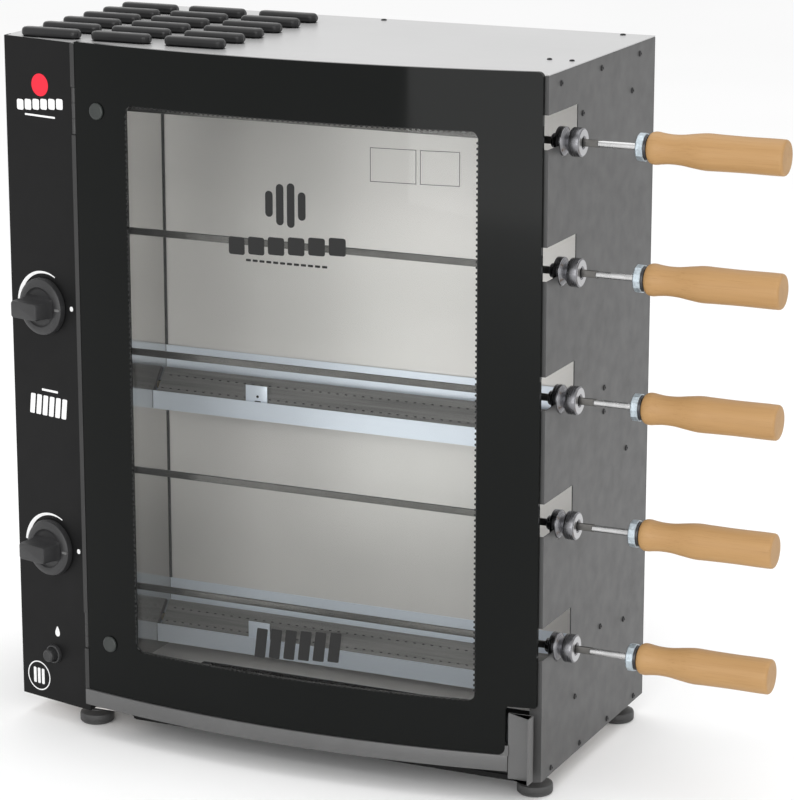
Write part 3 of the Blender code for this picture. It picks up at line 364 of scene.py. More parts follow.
def make_materials():
    return {
        "black_paint": powder_coat("satin_black_coat", (0.0064, 0.0064, 0.0066), 0.45, specular=0.14),
        "vent_black": powder_coat("vent_coat", (0.014, 0.014, 0.0145), 0.34, specular=0.35),
        "grey_paint": powder_coat("graphite_coat", (0.062, 0.062, 0.062), 0.38, specular=0.30),
        "top_steel": brushed("brushed_top_sheet", (0.48, 0.48, 0.48), 0.34, 0, 0.03, 0.4, 0.06),
        "cavity_steel": brushed("satin_cavity_sheet", (0.78, 0.75, 0.725), 0.32, 2, 0.012, 0.25, 0.02),
        "polished_steel": brushed("polished_wall_sheet", (0.46, 0.455, 0.445), 0.13, 2, 0.012, 1.0, 0.01),
        "burner_steel": brushed("satin_burner_sheet", (0.84, 0.90, 1.0), 0.34, 0, 0.02, 0.3, 0.04),
        "burner_black": burnt_steel("burnt_burner_steel"),
        "glass_border": black_glass("printed_glass_border"),
        "clear_pane": clear_glass("clear_window_glass"),
        "rail_metal": powder_coat("graphite_rail_coat", (0.105, 0.105, 0.105), 0.36, 0.2, 0.40),
        "stile_metal": powder_coat("dark_stile_coat", (0.034, 0.034, 0.034), 0.42, 0.1, 0.30),
        "hinge_metal": powder_coat("hinge_coat", (0.046, 0.046, 0.046), 0.38, 0.3, 0.35),
        "glass_button": moulded_plastic("dark_button_cap", (0.022, 0.026, 0.024), 0.36),
        "spit_steel": turned_metal("drawn_spit_steel", (0.13, 0.126, 0.120), 0.34, 60.0),
        "rod_steel": turned_metal("bright_rod_steel", (0.50, 0.50, 0.50), 0.24, 60.0),
        "bush_steel": turned_metal("turned_bush_steel", (0.20, 0.20, 0.21), 0.22),
        "bush_face": turned_metal("faced_bush_steel", (0.46, 0.46, 0.47), 0.30),
        "ferrule_zinc": zinc_plate("zinc_ferrule", (0.42, 0.48, 0.52)),
        "ferrule_ring": turned_metal("dark_ferrule_ring", (0.055, 0.055, 0.058), 0.30),
        "handle_wood": turned_wood("turned_beech"),
        "gear_steel": brushed("punched_gear_steel", (0.45, 0.45, 0.44), 0.38, 2, 0.08),
        "motor_metal": powder_coat("motor_can_coat", (0.30, 0.30, 0.31), 0.40, 0.6),
        "gas_brass": turned_metal("plain_brass", (0.62, 0.48, 0.22), 0.32, 900.0),
        "knob_plastic": moulded_plastic("knob_satin_plastic", (0.024, 0.024, 0.025), 0.42),
        "foot_plastic": moulded_plastic("foot_plastic", (0.050, 0.050, 0.050), 0.52),
        "white_ink": print_ink("white_ink", (0.80, 0.80, 0.80)),
        "red_ink": print_ink("red_ink", (0.80, 0.016, 0.040)),
        "black_ink": print_ink("black_ink", (0.010, 0.010, 0.010)),
        "grey_ink": print_ink("grey_ink", (0.15, 0.15, 0.15)),
        "screw_black": powder_coat("blackened_screw", (0.018, 0.018, 0.019), 0.36, 0.5, 0.4),
        # painted shade, laid on patches where slots, ports and openings are not cut
        "recess": recess_shade("painted_hole_shade", (0.005, 0.005, 0.005)),
    }


# ---- geometry helpers -------------------------------------------------------
def new_piece(name, shape, material, body, sharp=35):
    """Closes a bmesh into a shaded piece that rides on a body."""
    bmesh.ops.recalc_face_normals(shape, faces=shape.faces)
    mesh = bpy.data.meshes.new(name)
    shape.to_mesh(mesh)
    shape.free()
    mesh.materials.append(LOOKS[material])
    mesh.shade_smooth()
    mesh.set_sharp_from_angle(angle=math.radians(sharp))
    piece = bpy.data.objects.new(name, mesh)
    bpy.context.scene.collection.objects.link(piece)
    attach(piece, body)
    return piece


def soften(points, radius, steps=3, closed=False):
    """Rounds the corners of an outline or profile."""
    points = [Vector(point) for point in points]
    count = len(points)
    soft = []
    for index, corner in enumerate(points):
        if not closed and index in (0, count - 1):
            soft.append(tuple(corner))
            continue
        before = points[index - 1] - corner
        after = points[(index + 1) % count] - corner
        reach = min(radius, before.length * 0.48, after.length * 0.48)
        start = corner + before.normalized() * reach
        end = corner + after.normalized() * reach
        for step in range(steps + 1):
            share = step / steps
            soft.append(tuple(start * (1 - share) ** 2 + corner * 2 * share * (1 - share)
                              + end * share ** 2))
    return soft


def lathe(shape, profile, origin, axis, segments=48, closed=False):
    """Adds a turned solid: (radius, distance) pairs spun about an axis."""
    turn = Vector((0, 0, 1)).rotation_difference(Vector(axis)).to_matrix()
    origin = Vector(origin)
    rings = []
    for radius, distance in profile:
        count = 1 if radius < 1e-7 else segments
        ring = []
        for step in range(count):
            angle = 2 * math.pi * step / count
            local = Vector((radius * math.cos(angle), radius * math.sin(angle), distance))
            ring.append(shape.verts.new(origin + turn @ local))
        rings.append(ring)
    pairs = list(zip(rings, rings[1:]))
    if closed:
        pairs.append((rings[-1], rings[0]))
    for lower, upper in pairs:
        bridge(shape, lower, upper)


def bridge(shape, lower, upper):
    """Faces between two rings; a ring of one vertex is a pole."""
    made = []
    count = max(len(lower), len(upper))
    for step in range(count):
        corners = [lower[step % len(lower)], lower[(step + 1) % len(lower)],
                   upper[(step + 1) % len(upper)], upper[step % len(upper)]]
        unique = list(dict.fromkeys(corners))
        if len(unique) > 2:
            made.append(shape.faces.new(unique))
    return made


def loft(shape, rings):
    """Skins a list of rings of points and caps both ends."""
    made = [[shape.verts.new(point) for point in ring] for ring in rings]
    sides = []
    for lower, upper in zip(made, made[1:]):
        sides += bridge(shape, lower, upper)
    shape.faces.new(made[0])
    shape.faces.new(made[-1])
    return sides


def rounded_box(shape, low, high, radius, segments=3):
    """Adds a box with rounded edges."""
    low, high = Vector(low), Vector(high)
    place = Matrix.Translation((low + high) / 2) @ Matrix.Diagonal((*(high - low), 1.0))
    made = bmesh.ops.create_cube(shape, size=1.0, matrix=place)
    edges = dict.fromkeys(edge for vertex in made["verts"] for edge in vertex.link_edges)
    bmesh.ops.bevel(shape, geom=list(edges), offset=radius, segments=segments, profile=0.5,
                    affect="EDGES")


def slab(shape, outline, to_space, low, high, edge):
    """Adds a flat plate with softened rims: outline in a plane, thickness from low to high."""
    rings = []
    for height, inset in ((low, edge), (low + edge, 0.0), (high - edge, 0.0), (high, edge)):
        ring = []
        for index, point in enumerate(outline):
            inward = inward_normal(outline, index)
            moved = Vector(point) + inward * inset
            ring.append(to_space(moved.x, moved.y, height))
        rings.append(ring)
    loft(shape, rings)


def inward_normal(outline, index):
    """Direction into the outline at one of its points."""
    before = Vector(outline[index - 1])
    after = Vector(outline[(index + 1) % len(outline)])
    run = (after - before).normalized()
    across = Vector((-run.y, run.x))
    area = sum(a[0] * b[1] - b[0] * a[1] for a, b in zip(outline, outline[1:] + outline[:1]))
    return across if area > 0 else -across


def round_rectangle(left, right, bottom, top, radius, steps=8):
    """Outline of a rectangle with round corners, anticlockwise."""
    corners = ((right - radius, top - radius, 0), (left + radius, top - radius, 90),
               (left + radius, bottom + radius, 180), (right - radius, bottom + radius, 270))
    points = []
    for x, z, first in corners:
        for step in range(steps + 1):
            angle = math.radians(first + 90 * step / steps)
            points.append((x + radius * math.cos(angle), z + radius * math.sin(angle)))
    return points


def round_block(x, z, half_x, half_z, radius, steps):
    """Outline of a rectangle with round corners about its middle."""
    return round_rectangle(x - half_x, x + half_x, z - half_z, z + half_z, radius, steps)


def capsule(length, width, centre, steps=8):
    """A long outline with round ends."""
    x, z = centre
    radius = width / 2
    reach = length / 2 - radius
    points = []
    for side, first in ((1, -90), (-1, 90)):
        for step in range(steps + 1):
            angle = math.radians(first + 180 * step / steps)
            points.append((x + side * reach + radius * math.cos(angle), z + radius * math.sin(angle)))
    return points


def arc_y(radius, x):
    return ARC_CENTRE.y - math.sqrt(radius ** 2 - (x - ARC_CENTRE.x) ** 2)


def panel_space(along, height, out):
    """Point of the control panel: distance from its left edge, height, and distance outwards."""
    point = PANEL_A + PANEL_DIR * along + PANEL_OUT * out
    return (point.x, point.y, height)


# ---- casing -----------------------------------------------------------------
def paint_cad_nodes():
    """CAD nodes whose shape is already right take their slot's detailed material."""
    for subpart in frame["record"]["subparts"]:
        look = LOOKS.get(subpart["material_slot"])
        node = frame["nodes"][subpart["node"]]
        if look is None:
            look = LOOKS["glass_border"]
        if subpart["node"] == "cavity_left_wall":
            look = LOOKS["polished_steel"]
        if subpart["node"] == "base_pan":
            look = LOOKS["cavity_steel"]
        for slot in node.material_slots:
            slot.material = look


def make_vents():
    """Sheet with rows of raised hoods, each open at its rear through a long mouth."""
    shape = bmesh.new()
    sheet_top = TOP_LOW.z - 0.0003
    rounded_box(shape, VENT_LOW, (VENT_HIGH.x, VENT_HIGH.y, sheet_top), 0.0002, 1)
    crown = 0.0036
    shoulder = VENT_HIGH.z - crown
    levels = [(sheet_top - 0.0002, 0.0022), (sheet_top + 0.0013, 0.0022), (sheet_top + 0.0024, 0.0008),
              (sheet_top + 0.0038, 0.0), (shoulder, 0.0)]
    for step in range(1, 5):
        angle = math.radians(22.5 * step)
        levels.append((shoulder + crown * math.sin(angle), crown * (1 - math.cos(angle))))
    steps = 8
    for place in HOOD_PLACES:
        rings = []
        for height, inset in levels:
            outline = capsule(HOOD_LENGTH - 2 * inset, HOOD_WIDTH - 2 * inset, place, steps)
            rings.append([(x, y, height) for x, y in outline])
        sides = loft(shape, rings)
        mouth = sides[3 * len(rings[0]) + steps]
        bmesh.ops.inset_individual(shape, faces=[mouth], thickness=0.0008, depth=-0.004)
    piece = new_piece("vent_hoods", shape, "vent_black", "root")
    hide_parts("vent_louvres")
    # Dark discs on the hoods' +X ends: painted shade standing in for each hood's open end.
    end_shades = bmesh.new()
    profile = [(0.0, -0.0030), (0.0028, -0.0030), (0.0028, -0.0002), (0.0024, 0.0001), (0.0, 0.0)]
    for x, y in HOOD_PLACES:
        lathe(end_shades, profile, (x + HOOD_LENGTH / 2, y, TOP_HIGH.z + 0.0044), (1, 0, 0), 20)
    new_piece("vent_end_painted_shades", end_shades, "knob_plastic", "root")


def screw(shape, place, normal, radius):
    """Pan-head screw with a round socket."""
    profile = [(0.0, 0.0003), (radius * 0.30, 0.0003), (radius * 0.36, 0.0012),
               (radius * 0.66, 0.0013), (radius * 0.90, 0.0008), (radius, 0.0), (0.0, 0.0)]
    lathe(shape, profile, place, normal, 20)


def make_screws(name, groups):
    """One piece of screws from groups of places, each with its direction and head radius."""
    shape = bmesh.new()
    for places, normal, radius in groups:
        for place in places:
            screw(shape, place, normal, radius)
    new_piece(name, shape, "screw_black", "root")


def make_casing_screws():
    """Screws along the seams of the side panel, at the spit brackets and on the top sheet."""
    side = [(SIDE_HIGH.x, y, z) for y, z in SIDE_SCREWS]
    make_screws("side_panel_screws", [(side, (1, 0, 0), 0.0030)])
    pair = [(x, -0.0323, TOP_HIGH.z) for x in (0.1453, 0.1671)]
    rear = [(x, 0.1430, TOP_HIGH.z) for x in (-0.3700, -0.1000, 0.1500)]
    make_screws("top_panel_screws", [(pair, (0, 0, 1), 0.0026), (rear, (0, 0, 1), 0.0030)])


def pressed_sheet(shape, outer, field, depth, thickness, to_space):
    """Adds a flat sheet with a rounded rectangular field pressed inwards."""
    slope = PRESS_SLOPE
    rim = round_rectangle(*outer, 0.0006)
    lip = round_rectangle(*field, 0.012)
    left, right, bottom, top = field
    floor = round_rectangle(left + slope, right - slope, bottom + slope, top - slope, 0.010)
    levels = ((floor, depth + thickness), (lip, thickness), (rim, thickness), (rim, 0.0), (lip, 0.0),
              (floor, depth))
    loft(shape, [[to_space(a, b, into) for a, b in outline] for outline, into in levels])


def make_ribs(name, material, length, width, middle, bottom, pitch, to_space):
    """Five long low ribs with round ends that stand out of a pressed field."""
    shape = bmesh.new()
    for rib in range(5):
        rings = []
        for share in (0.0, 0.35, 0.7, 1.0):
            inset = width * 0.38 * share
            out = PRESS_DEPTH * (1 - (1 - share) ** 2) * 0.8
            outline = capsule(length - 2 * inset, width - 2 * inset, (middle, bottom + pitch * rib))
            rings.append([to_space(a, b, PRESS_DEPTH - out) for a, b in outline])
        loft(shape, rings)
    new_piece(name, shape, material, "root", 20)


def rear_space(x, z, into):
    return (x, REAR_HIGH.y - into, z)


def cover_space(y, z, into):
    return (COVER_LOW.x + into, y, z)


def cut_away(piece, tool_shape):
    """Cuts a shape out of a piece and keeps its looks."""
    mesh = bpy.data.meshes.new("cutting_tool")
    tool_shape.to_mesh(mesh)
    tool_shape.free()
    tool = bpy.data.objects.new("cutting_tool", mesh)
    bpy.context.scene.collection.objects.link(tool)
    step = piece.modifiers.new("Cut", "BOOLEAN")
    step.operation = "DIFFERENCE"
    step.solver = "EXACT"
    step.object = tool
    bpy.context.view_layer.update()
    cut = bpy.data.meshes.new_from_object(piece.evaluated_get(bpy.context.evaluated_depsgraph_get()))
    piece.modifiers.remove(step)
    piece.data = cut
    bpy.data.objects.remove(tool, do_unlink=True)


def make_rear_cover():
    """Rear sheet with a pressed field, ribs, air slots and the hole round the gas inlet."""
    low, high = REAR_LOW, REAR_HIGH
    shape = bmesh.new()
    pressed_sheet(shape, (low.x, high.x, low.z, high.z), REAR_FIELD, PRESS_DEPTH, high.y - low.y,
                  rear_space)
    piece = new_piece("pressed_rear_cover", shape, "grey_paint", "root", 20)
    tools = bmesh.new()
    for slot in range(REAR_SLOTS):
        middle = (REAR_SLOT_PLACE[0], REAR_SLOT_PLACE[1] + REAR_SLOT_PITCH * slot)
        outline = capsule(*REAR_SLOT_SIZE, middle, 5)
        loft(tools, [[(x, y, z) for x, z in outline] for y in (low.y - 0.01, high.y + 0.01)])
    radius = INLET_HOLE_RADIUS
    lathe(tools, [(0.0, -0.01), (radius, -0.01), (radius, 0.01), (0.0, 0.01)],
          (GAS_INLET[0], high.y, GAS_INLET[1]), (0, 1, 0), 40)
    bmesh.ops.recalc_face_normals(tools, faces=tools.faces)
    cut_away(piece, tools)
    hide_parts("rear_cover")
    make_ribs("rear_cover_ribs", "grey_paint", 0.38, 0.014, -0.083, 0.14, 0.105, rear_space)
    places = [rear_space(x, z, PRESS_DEPTH) for x in (-0.305, -0.083, 0.139) for z in (0.070, 0.630)]
    make_screws("rear_cover_screws", [(places, (0, 1, 0), 0.0032)])


def make_left_cover():
    """Left sheet with a pressed field, ribs and screws."""
    low, high = COVER_LOW, COVER_HIGH
    shape = bmesh.new()
    pressed_sheet(shape, (low.y, high.y, low.z, high.z), LEFT_FIELD, PRESS_DEPTH, LEFT_SHEET, cover_space)
    piece = new_piece("pressed_left_cover", shape, "black_paint", "root", 20)
    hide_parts("left_side_cover")
    make_ribs("left_cover_ribs", "black_paint", 0.140, 0.012, 0.031, 0.16, 0.095, cover_space)
    places = [cover_space(y, z, PRESS_DEPTH) for y in (-0.054, 0.116) for z in (0.064, 0.350, 0.636)]
    make_screws("left_cover_screws", [(places, (-1, 0, 0), 0.0032)])


def make_corner_shade_strip():
    """Dark strip of painted shade down the cavity's rear left corner, where the back and left walls meet.
    """
    shape = bmesh.new()
    x, y = WALL_LOW.x + 0.0011, BACK_LOW.y - 0.0003
    bottom, top = WALL_LOW.z + 0.004, WALL_HIGH.z - 0.002
    rounded_box(shape, (x, y - 0.0012, bottom), (x + 0.0014, y, top), 0.0003, 2)
    new_piece("cavity_corner_painted_shade", shape, "hinge_metal", "root")


def make_feet():
    """Levelling feet: ribbed round base, waist and threaded stem."""
    profile = [(0.0, 0.0), (0.0150, 0.0), (0.0168, 0.0016), (0.0170, 0.0030), (0.0166, 0.0034),
               (0.0170, 0.0040), (0.0170, 0.0080), (0.0163, 0.0097), (0.0120, 0.0112),
               (0.0092, 0.0122), (0.0088, 0.0134), (0.0064, 0.0140), (0.0060, 0.0160),
               (0.0042, 0.0166)]
    for turn in range(4):
        height = 0.0168 + 0.0008 * turn
        profile += [(0.0042, height), (0.0038, height + 0.0004)]
    profile += [(0.0042, 0.0202), (0.0, 0.0202)]
    for name in ("front_left", "front_right", "rear_left", "rear_right"):
        low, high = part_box(f"foot_{name}")
        shape = bmesh.new()
        lathe(shape, profile, ((low.x + high.x) / 2, (low.y + high.y) / 2, low.z), (0, 0, 1), 48)
        piece = new_piece(f"levelling_foot_{name}", shape, "foot_plastic", "root")
        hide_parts(f"foot_{name}")


# ---- door -------------------------------------------------------------------
def curved_plate(outlines, left, right, thickness, inset=0.0):
    """A plate on the door's bow: outlines are its rim and any hole, as X and Z."""
    shape = bmesh.new()
    for outline in outlines:
        ring = [shape.verts.new((x, 0.0, z)) for x, z in outline]
        for first, second in zip(ring, ring[1:] + ring[:1]):
            shape.edges.new((first, second))
    bmesh.ops.triangle_fill(shape, edges=shape.edges[:], use_beauty=True, use_dissolve=False)
    for strip in range(1, STRIPS):
        x = left + (right - left) * strip / STRIPS
        geometry = shape.verts[:] + shape.edges[:] + shape.faces[:]
        bmesh.ops.bisect_plane(shape, geom=geometry, dist=1e-7, plane_co=(x, 0, 0), plane_no=(1, 0, 0))
    front = shape.faces[:]
    copied = bmesh.ops.duplicate(shape, geom=front)
    back = [item for item in copied["geom"] if isinstance(item, bmesh.types.BMFace)]
    back_verts = {vertex for face in back for vertex in face.verts}
    for vertex in shape.verts:
        radius = GLASS_RADIUS - inset - (thickness if vertex in back_verts else 0.0)
        vertex.co.y = arc_y(radius, vertex.co.x)
    bridge_rims(shape, copied["vert_map"], front)
    return shape


def bridge_rims(shape, pairs, front):
    """Walls between the rim of the front faces and their copies behind."""
    inside = set(front)
    rims = [edge for face in front for edge in face.edges
            if sum(1 for near in edge.link_faces if near in inside) == 1]
    for edge in dict.fromkeys(rims):
        first, second = edge.verts
        shape.faces.new((first, second, pairs[second], pairs[first]))


def glass_rim():
    """Outline of the door glass with its pull cut-out and rounded corners."""
    cut_x, cut_z = PULL_CUT
    low, high = GLASS_LOW, GLASS_HIGH
    outline = [(low.x, low.z), (cut_x, low.z), (cut_x, cut_z), (high.x, cut_z), (high.x, high.z),
               (low.x, high.z)]
    radii = (0.001, PULL_CORNER_RADIUS, 0.003, 0.002, GLASS_CORNER_RADIUS, 0.001)
    rim = []
    for index, corner in enumerate(outline):
        trio = [outline[index - 1], corner, outline[(index + 1) % len(outline)]]
        rim += soften(trio, radii[index], 6)[1:-1]
    return rim


def make_door_glass():
    """Black printed border on the bow, and a clear window whose rim laps into it."""
    window = round_rectangle(*WINDOW, WINDOW_CORNER_RADIUS)
    border = curved_plate([glass_rim(), window], GLASS_LOW.x, GLASS_HIGH.x, GLASS_THICKNESS)
    piece = new_piece("printed_glass_border", border, "glass_border", "door", 30)
    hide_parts("door_glass")
    left, right, bottom, top = WINDOW
    lap = 0.0004
    inner = round_rectangle(left - lap, right + lap, bottom - lap, top + lap, WINDOW_CORNER_RADIUS)
    pane = curved_plate([inner], left - lap, right + lap, GLASS_THICKNESS - 2 * PANE_INSET, PANE_INSET)
    new_piece("clear_window", pane, "clear_pane", "door", 30)


def glass_print(shape, outline):
    """Thin patch of ink on the glass's outer face."""
    loft(shape, [[(x, arc_y(GLASS_RADIUS + out, x), z) for x, z in outline] for out in (0.00002, 0.00014)])


def make_frit_dots():
    """Row of printed dots that fades the border into the window."""
    left, right, bottom, top = WINDOW
    shape = bmesh.new()
    across = round((right - left) / FRIT_DOT_PITCH)
    upright = round((top - bottom) / FRIT_DOT_PITCH)
    for step in range(2, across - 1):
        x = left + (right - left) * step / across
        for z in (bottom + 0.0003, top - 0.0003):
            glass_print(shape, round_dot(x, z, 0.0012))
    for step in range(2, upright - 1):
        z = bottom + (top - bottom) * step / upright
        for x in (left + 0.0003, right - 0.0003):
            glass_print(shape, round_dot(x, z, 0.0012))
    new_piece("border_dots", shape, "black_ink", "door")


def round_dot(x, z, radius, steps=12):
    angles = [2 * math.pi * step / steps for step in range(steps)]
    return [(x + radius * math.cos(angle), z + radius * math.sin(angle)) for angle in angles]


def make_glass_marks():
    """Plain printed marks on the window: a ring of bars, block rows, two frames and slanted bars."""
    shape = bmesh.new()
    for offset, half_height in ((-0.0165, 0.0120), (-0.0055, 0.0190), (0.0055, 0.0205), (0.0165, 0.0130)):
        glass_print(shape, round_block(-0.0632 + offset, 0.5515, 0.0038, half_height, 0.0037, 5))
    for block in range(6):
        left = -0.1218 + 0.0203 * block
        bottom = 0.5015 + 0.0014 * block
        glass_print(shape, round_rectangle(left, left + 0.0166, bottom, bottom + 0.0165, 0.0022, 3))
    for block in range(12):
        left = -0.1040 + 0.0070 * block
        glass_print(shape, round_rectangle(left, left + 0.0052, 0.4962, 0.4984, 0.0006, 2))
    for left, right in ((0.0198, 0.0629), (0.0665, 0.1028)):
        glass_frame(shape, left, right, 0.5790, 0.6100, 0.0005)
    for bar in range(6):
        slant(shape, -0.1000 + 0.0152 * bar, 0.1150 + 0.0011 * bar, 0.0112, 0.0290, 0.0035, glass_print)
    new_piece("glass_marks", shape, "black_ink", "door")


def glass_frame(shape, left, right, bottom, top, width):
    """Thin outline of a rectangle."""
    inner_bottom, inner_top = bottom + width, top - width
    bars = ((left, right, bottom, inner_bottom), (left, right, inner_top, top),
            (left, left + width, inner_bottom, inner_top), (right - width, right, inner_bottom, inner_top))
    for low_x, high_x, low_z, high_z in bars:
        glass_print(shape, [(low_x, low_z), (high_x, low_z), (high_x, high_z), (low_x, high_z)])


def slant(shape, left, bottom, width, height, lean, draw):
    """A leaning bar with softened corners."""
    corners = [(left, bottom), (left + width, bottom), (left + width + lean, bottom + height),
               (left + lean, bottom + height)]
    draw(shape, soften(corners, 0.0012, 3, closed=True))


def make_door_rail():
    """Curved channel under the glass."""
    bottom, top = RAIL_LOW.z, RAIL_HIGH.z
    wall = RAIL_WALL
    section = soften([(0.0, bottom), (0.0, top), (RAIL_DEPTH, top), (RAIL_DEPTH, bottom),
                      (RAIL_DEPTH - wall, bottom), (RAIL_DEPTH - wall, top - wall),
                      (wall, top - wall), (wall, bottom)], 0.0007, 2, closed=True)
    shape = bmesh.new()
    rings = []
    for step in range(STRIPS + 1):
        x = RAIL_LOW.x + (RAIL_HIGH.x - RAIL_LOW.x) * step / STRIPS
        rings.append([(x, arc_y(RAIL_RADIUS - depth, x), z) for depth, z in section])
    loft(shape, rings)
    piece = new_piece("curved_rail", shape, "rail_metal", "door")
    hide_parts("door_rail")


def make_pull():
    """Bent plate: a flat tab that turns forward at its outer edge."""
    left, right = PULL_LOW.x, PULL_HIGH.x
    front = PULL_HIGH.y - 0.0030
    lip = PULL_LOW.y
    path = [(left, PULL_HIGH.y - 0.0012), (left, front), (right - 0.0017, front + 0.0006),
            (right - 0.0017, lip), (right, lip), (right, PULL_HIGH.y)]
    shape = bmesh.new()
    slab(shape, soften(path, 0.0009, 3, closed=True), lambda x, y, z: (x, y, z), PULL_LOW.z, PULL_HIGH.z,
         0.0004)
    piece = new_piece("bent_door_pull", shape, "rail_metal", "door")
    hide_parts("door_pull")
    make_pull_web()


def make_pull_web():
    """Web between the rail's top edge and the pull, round the glass's rounded corner."""
    radius = PULL_CORNER_RADIUS
    corner_x = PULL_CUT[0] + 0.0004
    base = GLASS_LOW.z - 0.0006
    outline = [(PULL_LOW.x + 0.0010, base), (PULL_LOW.x + 0.0010, base + radius + 0.0020),
               (corner_x, base + radius + 0.0020)]
    for step in range(9):
        angle = math.radians(90 * step / 8)
        outline.append((corner_x - radius + radius * math.cos(angle),
                        base + radius - radius * math.sin(angle)))
    shape = bmesh.new()
    front = arc_y(RAIL_RADIUS, PULL_CUT[0])
    slab(shape, outline, lambda x, z, y: (x, y, z), front + 0.0002, front + 0.0016, 0.0001)
    new_piece("pull_web", shape, "rail_metal", "door")


def make_hinge(name):
    """Leaf, a knuckle in three barrels and a round-ended pin."""
    low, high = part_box(f"hinge_{name}")
    reach = 0.0060
    bottom, top = low.z + reach, high.z - reach
    third = (top - bottom) / 3
    profile = [(0.0, low.z), (0.0009, low.z), (0.0012, low.z + 0.0004), (0.0012, bottom)]
    for barrel in range(3):
        start = bottom + third * barrel
        profile += [(0.0020, start + 0.0001), (0.0024, start + 0.0005), (0.0024, start + third - 0.0005),
                    (0.0020, start + third - 0.0001)]
    profile += [(0.0012, top), (0.0012, high.z - 0.0004), (0.0009, high.z), (0.0, high.z)]
    shape = bmesh.new()
    lathe(shape, profile, (*HINGE_AXIS, 0.0), (0, 0, 1), 24)
    rounded_box(shape, (-0.2972, -0.1264, bottom), (-0.2962, high.y, top), 0.0003, 2)
    piece = new_piece(f"pin_hinge_{name}", shape, "hinge_metal", "root")
    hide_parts(f"hinge_{name}")


def make_glass_buttons():
    """Round clamp buttons through the glass, with a dished cap."""
    for name in ("upper", "lower"):
        low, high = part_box(f"glass_button_{name}")
        x, z = (low.x + high.x) / 2, (low.z + high.z) / 2
        y = arc_y(GLASS_RADIUS, x)
        outward = Vector((x - ARC_CENTRE.x, y - ARC_CENTRE.y, 0.0)).normalized()
        profile = [(0.0, 0.0026), (0.0040, 0.0027), (0.0062, 0.0028), (0.0074, 0.0024),
                   (0.0080, 0.0014), (0.0080, 0.0003), (0.0030, 0.0003), (0.0030, -0.0043),
                   (0.0065, -0.0043), (0.0065, -0.0063), (0.0, -0.0063)]
        shape = bmesh.new()
        lathe(shape, soften(profile, 0.0005, 2), (x, y, z), outward, 40)
        piece = new_piece(f"clamp_button_{name}", shape, "glass_button", "door")
        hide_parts(f"glass_button_{name}")


# ---- controls ---------------------------------------------------------------
def make_knob(name):
    """Skirted knob with a level grip bar, and a pointer dash on its ring."""
    along, height = KNOB_PLACES[name]
    gap = 0.0006
    profile = [(0.0, 0.0060), (0.0165, 0.0060), (0.0185, 0.0066), (0.0195, 0.0078),
               (0.0215, 0.0082), (0.0250, 0.0076), (0.0272, 0.0060), (0.0279, 0.0036),
               (0.0280, 0.0004), (0.0276, 0.0), (0.0036, 0.0), (0.0036, -0.0024), (0.0, -0.0024)]
    shape = bmesh.new()
    lathe(shape, profile, panel_space(along, height, gap), PANEL_NORMAL, 72)
    grip_rings = []
    for depth, half_width, half_height in ((0.0050, 0.0188, 0.0112), (0.0085, 0.0178, 0.0096),
                                           (0.0130, 0.0172, 0.0088), (0.0270, 0.0168, 0.0084),
                                           (0.0288, 0.0162, 0.0079), (0.0294, 0.0150, 0.0067)):
        outline = round_block(0.0, 0.0, half_width, half_height, 0.0026, 4)
        grip_rings.append([panel_space(along + a, height + b, gap + depth) for a, b in outline])
    loft(shape, grip_rings)
    body = f"burner_knob_{name}"
    piece = new_piece(f"burner_knob_shell_{name}", shape, "knob_plastic", body)
    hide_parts(f"knob_{name}")
    dash = bmesh.new()
    outline = round_rectangle(along + 0.0212, along + 0.0268, height - 0.0012, height + 0.0012, 0.0006, 3)
    slab(dash, outline, panel_space, 0.0070, 0.0091, 0.0002)
    new_piece(f"pointer_dash_{name}", dash, "grey_ink", body)


def make_igniter():
    """Push button in a round bezel."""
    place = panel_space(*IGNITER_PLACE, 0.0)
    shape = bmesh.new()
    button = [(0.0, 0.0104), (0.0030, 0.0106), (0.0050, 0.0110), (0.0062, 0.0100),
              (0.0067, 0.0080), (0.0067, -0.010), (0.0, -0.010)]
    lathe(shape, soften(button, 0.0006, 3), place, PANEL_NORMAL, 40)
    piece = new_piece("igniter_cap", shape, "knob_plastic", "igniter")
    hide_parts("igniter_button")
    bezel = bmesh.new()
    ring = [(0.0070, 0.0002), (0.0070, 0.0028), (0.0078, 0.0036), (0.0090, 0.0030),
            (0.0096, 0.0012), (0.0097, 0.0002)]
    lathe(bezel, ring, place, PANEL_NORMAL, 40, closed=True)
    new_piece("igniter_bezel", bezel, "knob_plastic", "root")


def panel_print(shape, outline):
    slab(shape, outline, panel_space, 0.00002, 0.00016, 0.00002)


def make_panel_prints():
    """Plain marks: a dot and a tapering heat scale for each knob, a drop, a ring, blocks and a spot."""
    shape = bmesh.new()
    for along, height in KNOB_PLACES.values():
        panel_print(shape, round_block(along + 0.0355, height + 0.0017, 0.0021, 0.0024, 0.0019, 5))
        heat_scale(shape, along, height)
    drop_mark(shape, 0.0489, 0.0943, 0.0052)
    emblem(shape, 0.0219, 0.0427)
    for block in range(6):
        left = 0.0146 + 0.0103 * block
        bottom = 0.6112 + 0.0010 * block
        panel_print(shape, round_rectangle(left, left + 0.0085, bottom, bottom + 0.0102, 0.0018, 3))
    panel_print(shape, round_rectangle(0.0247, 0.0642, 0.6068, 0.6086, 0.0008, 3))
    for bar in range(6):
        slant(shape, 0.0200 + 0.0084 * bar, 0.3135, 0.0062, 0.0200, 0.0022, panel_print)
    panel_print(shape, round_rectangle(0.0368, 0.0583, 0.3380, 0.3402, 0.0009, 3))
    new_piece("panel_prints", shape, "white_ink", "root")
    disc = bmesh.new()
    panel_print(disc, round_dot(0.0453, 0.6374, 0.0108, 40))
    new_piece("panel_red_spot", disc, "red_ink", "root")


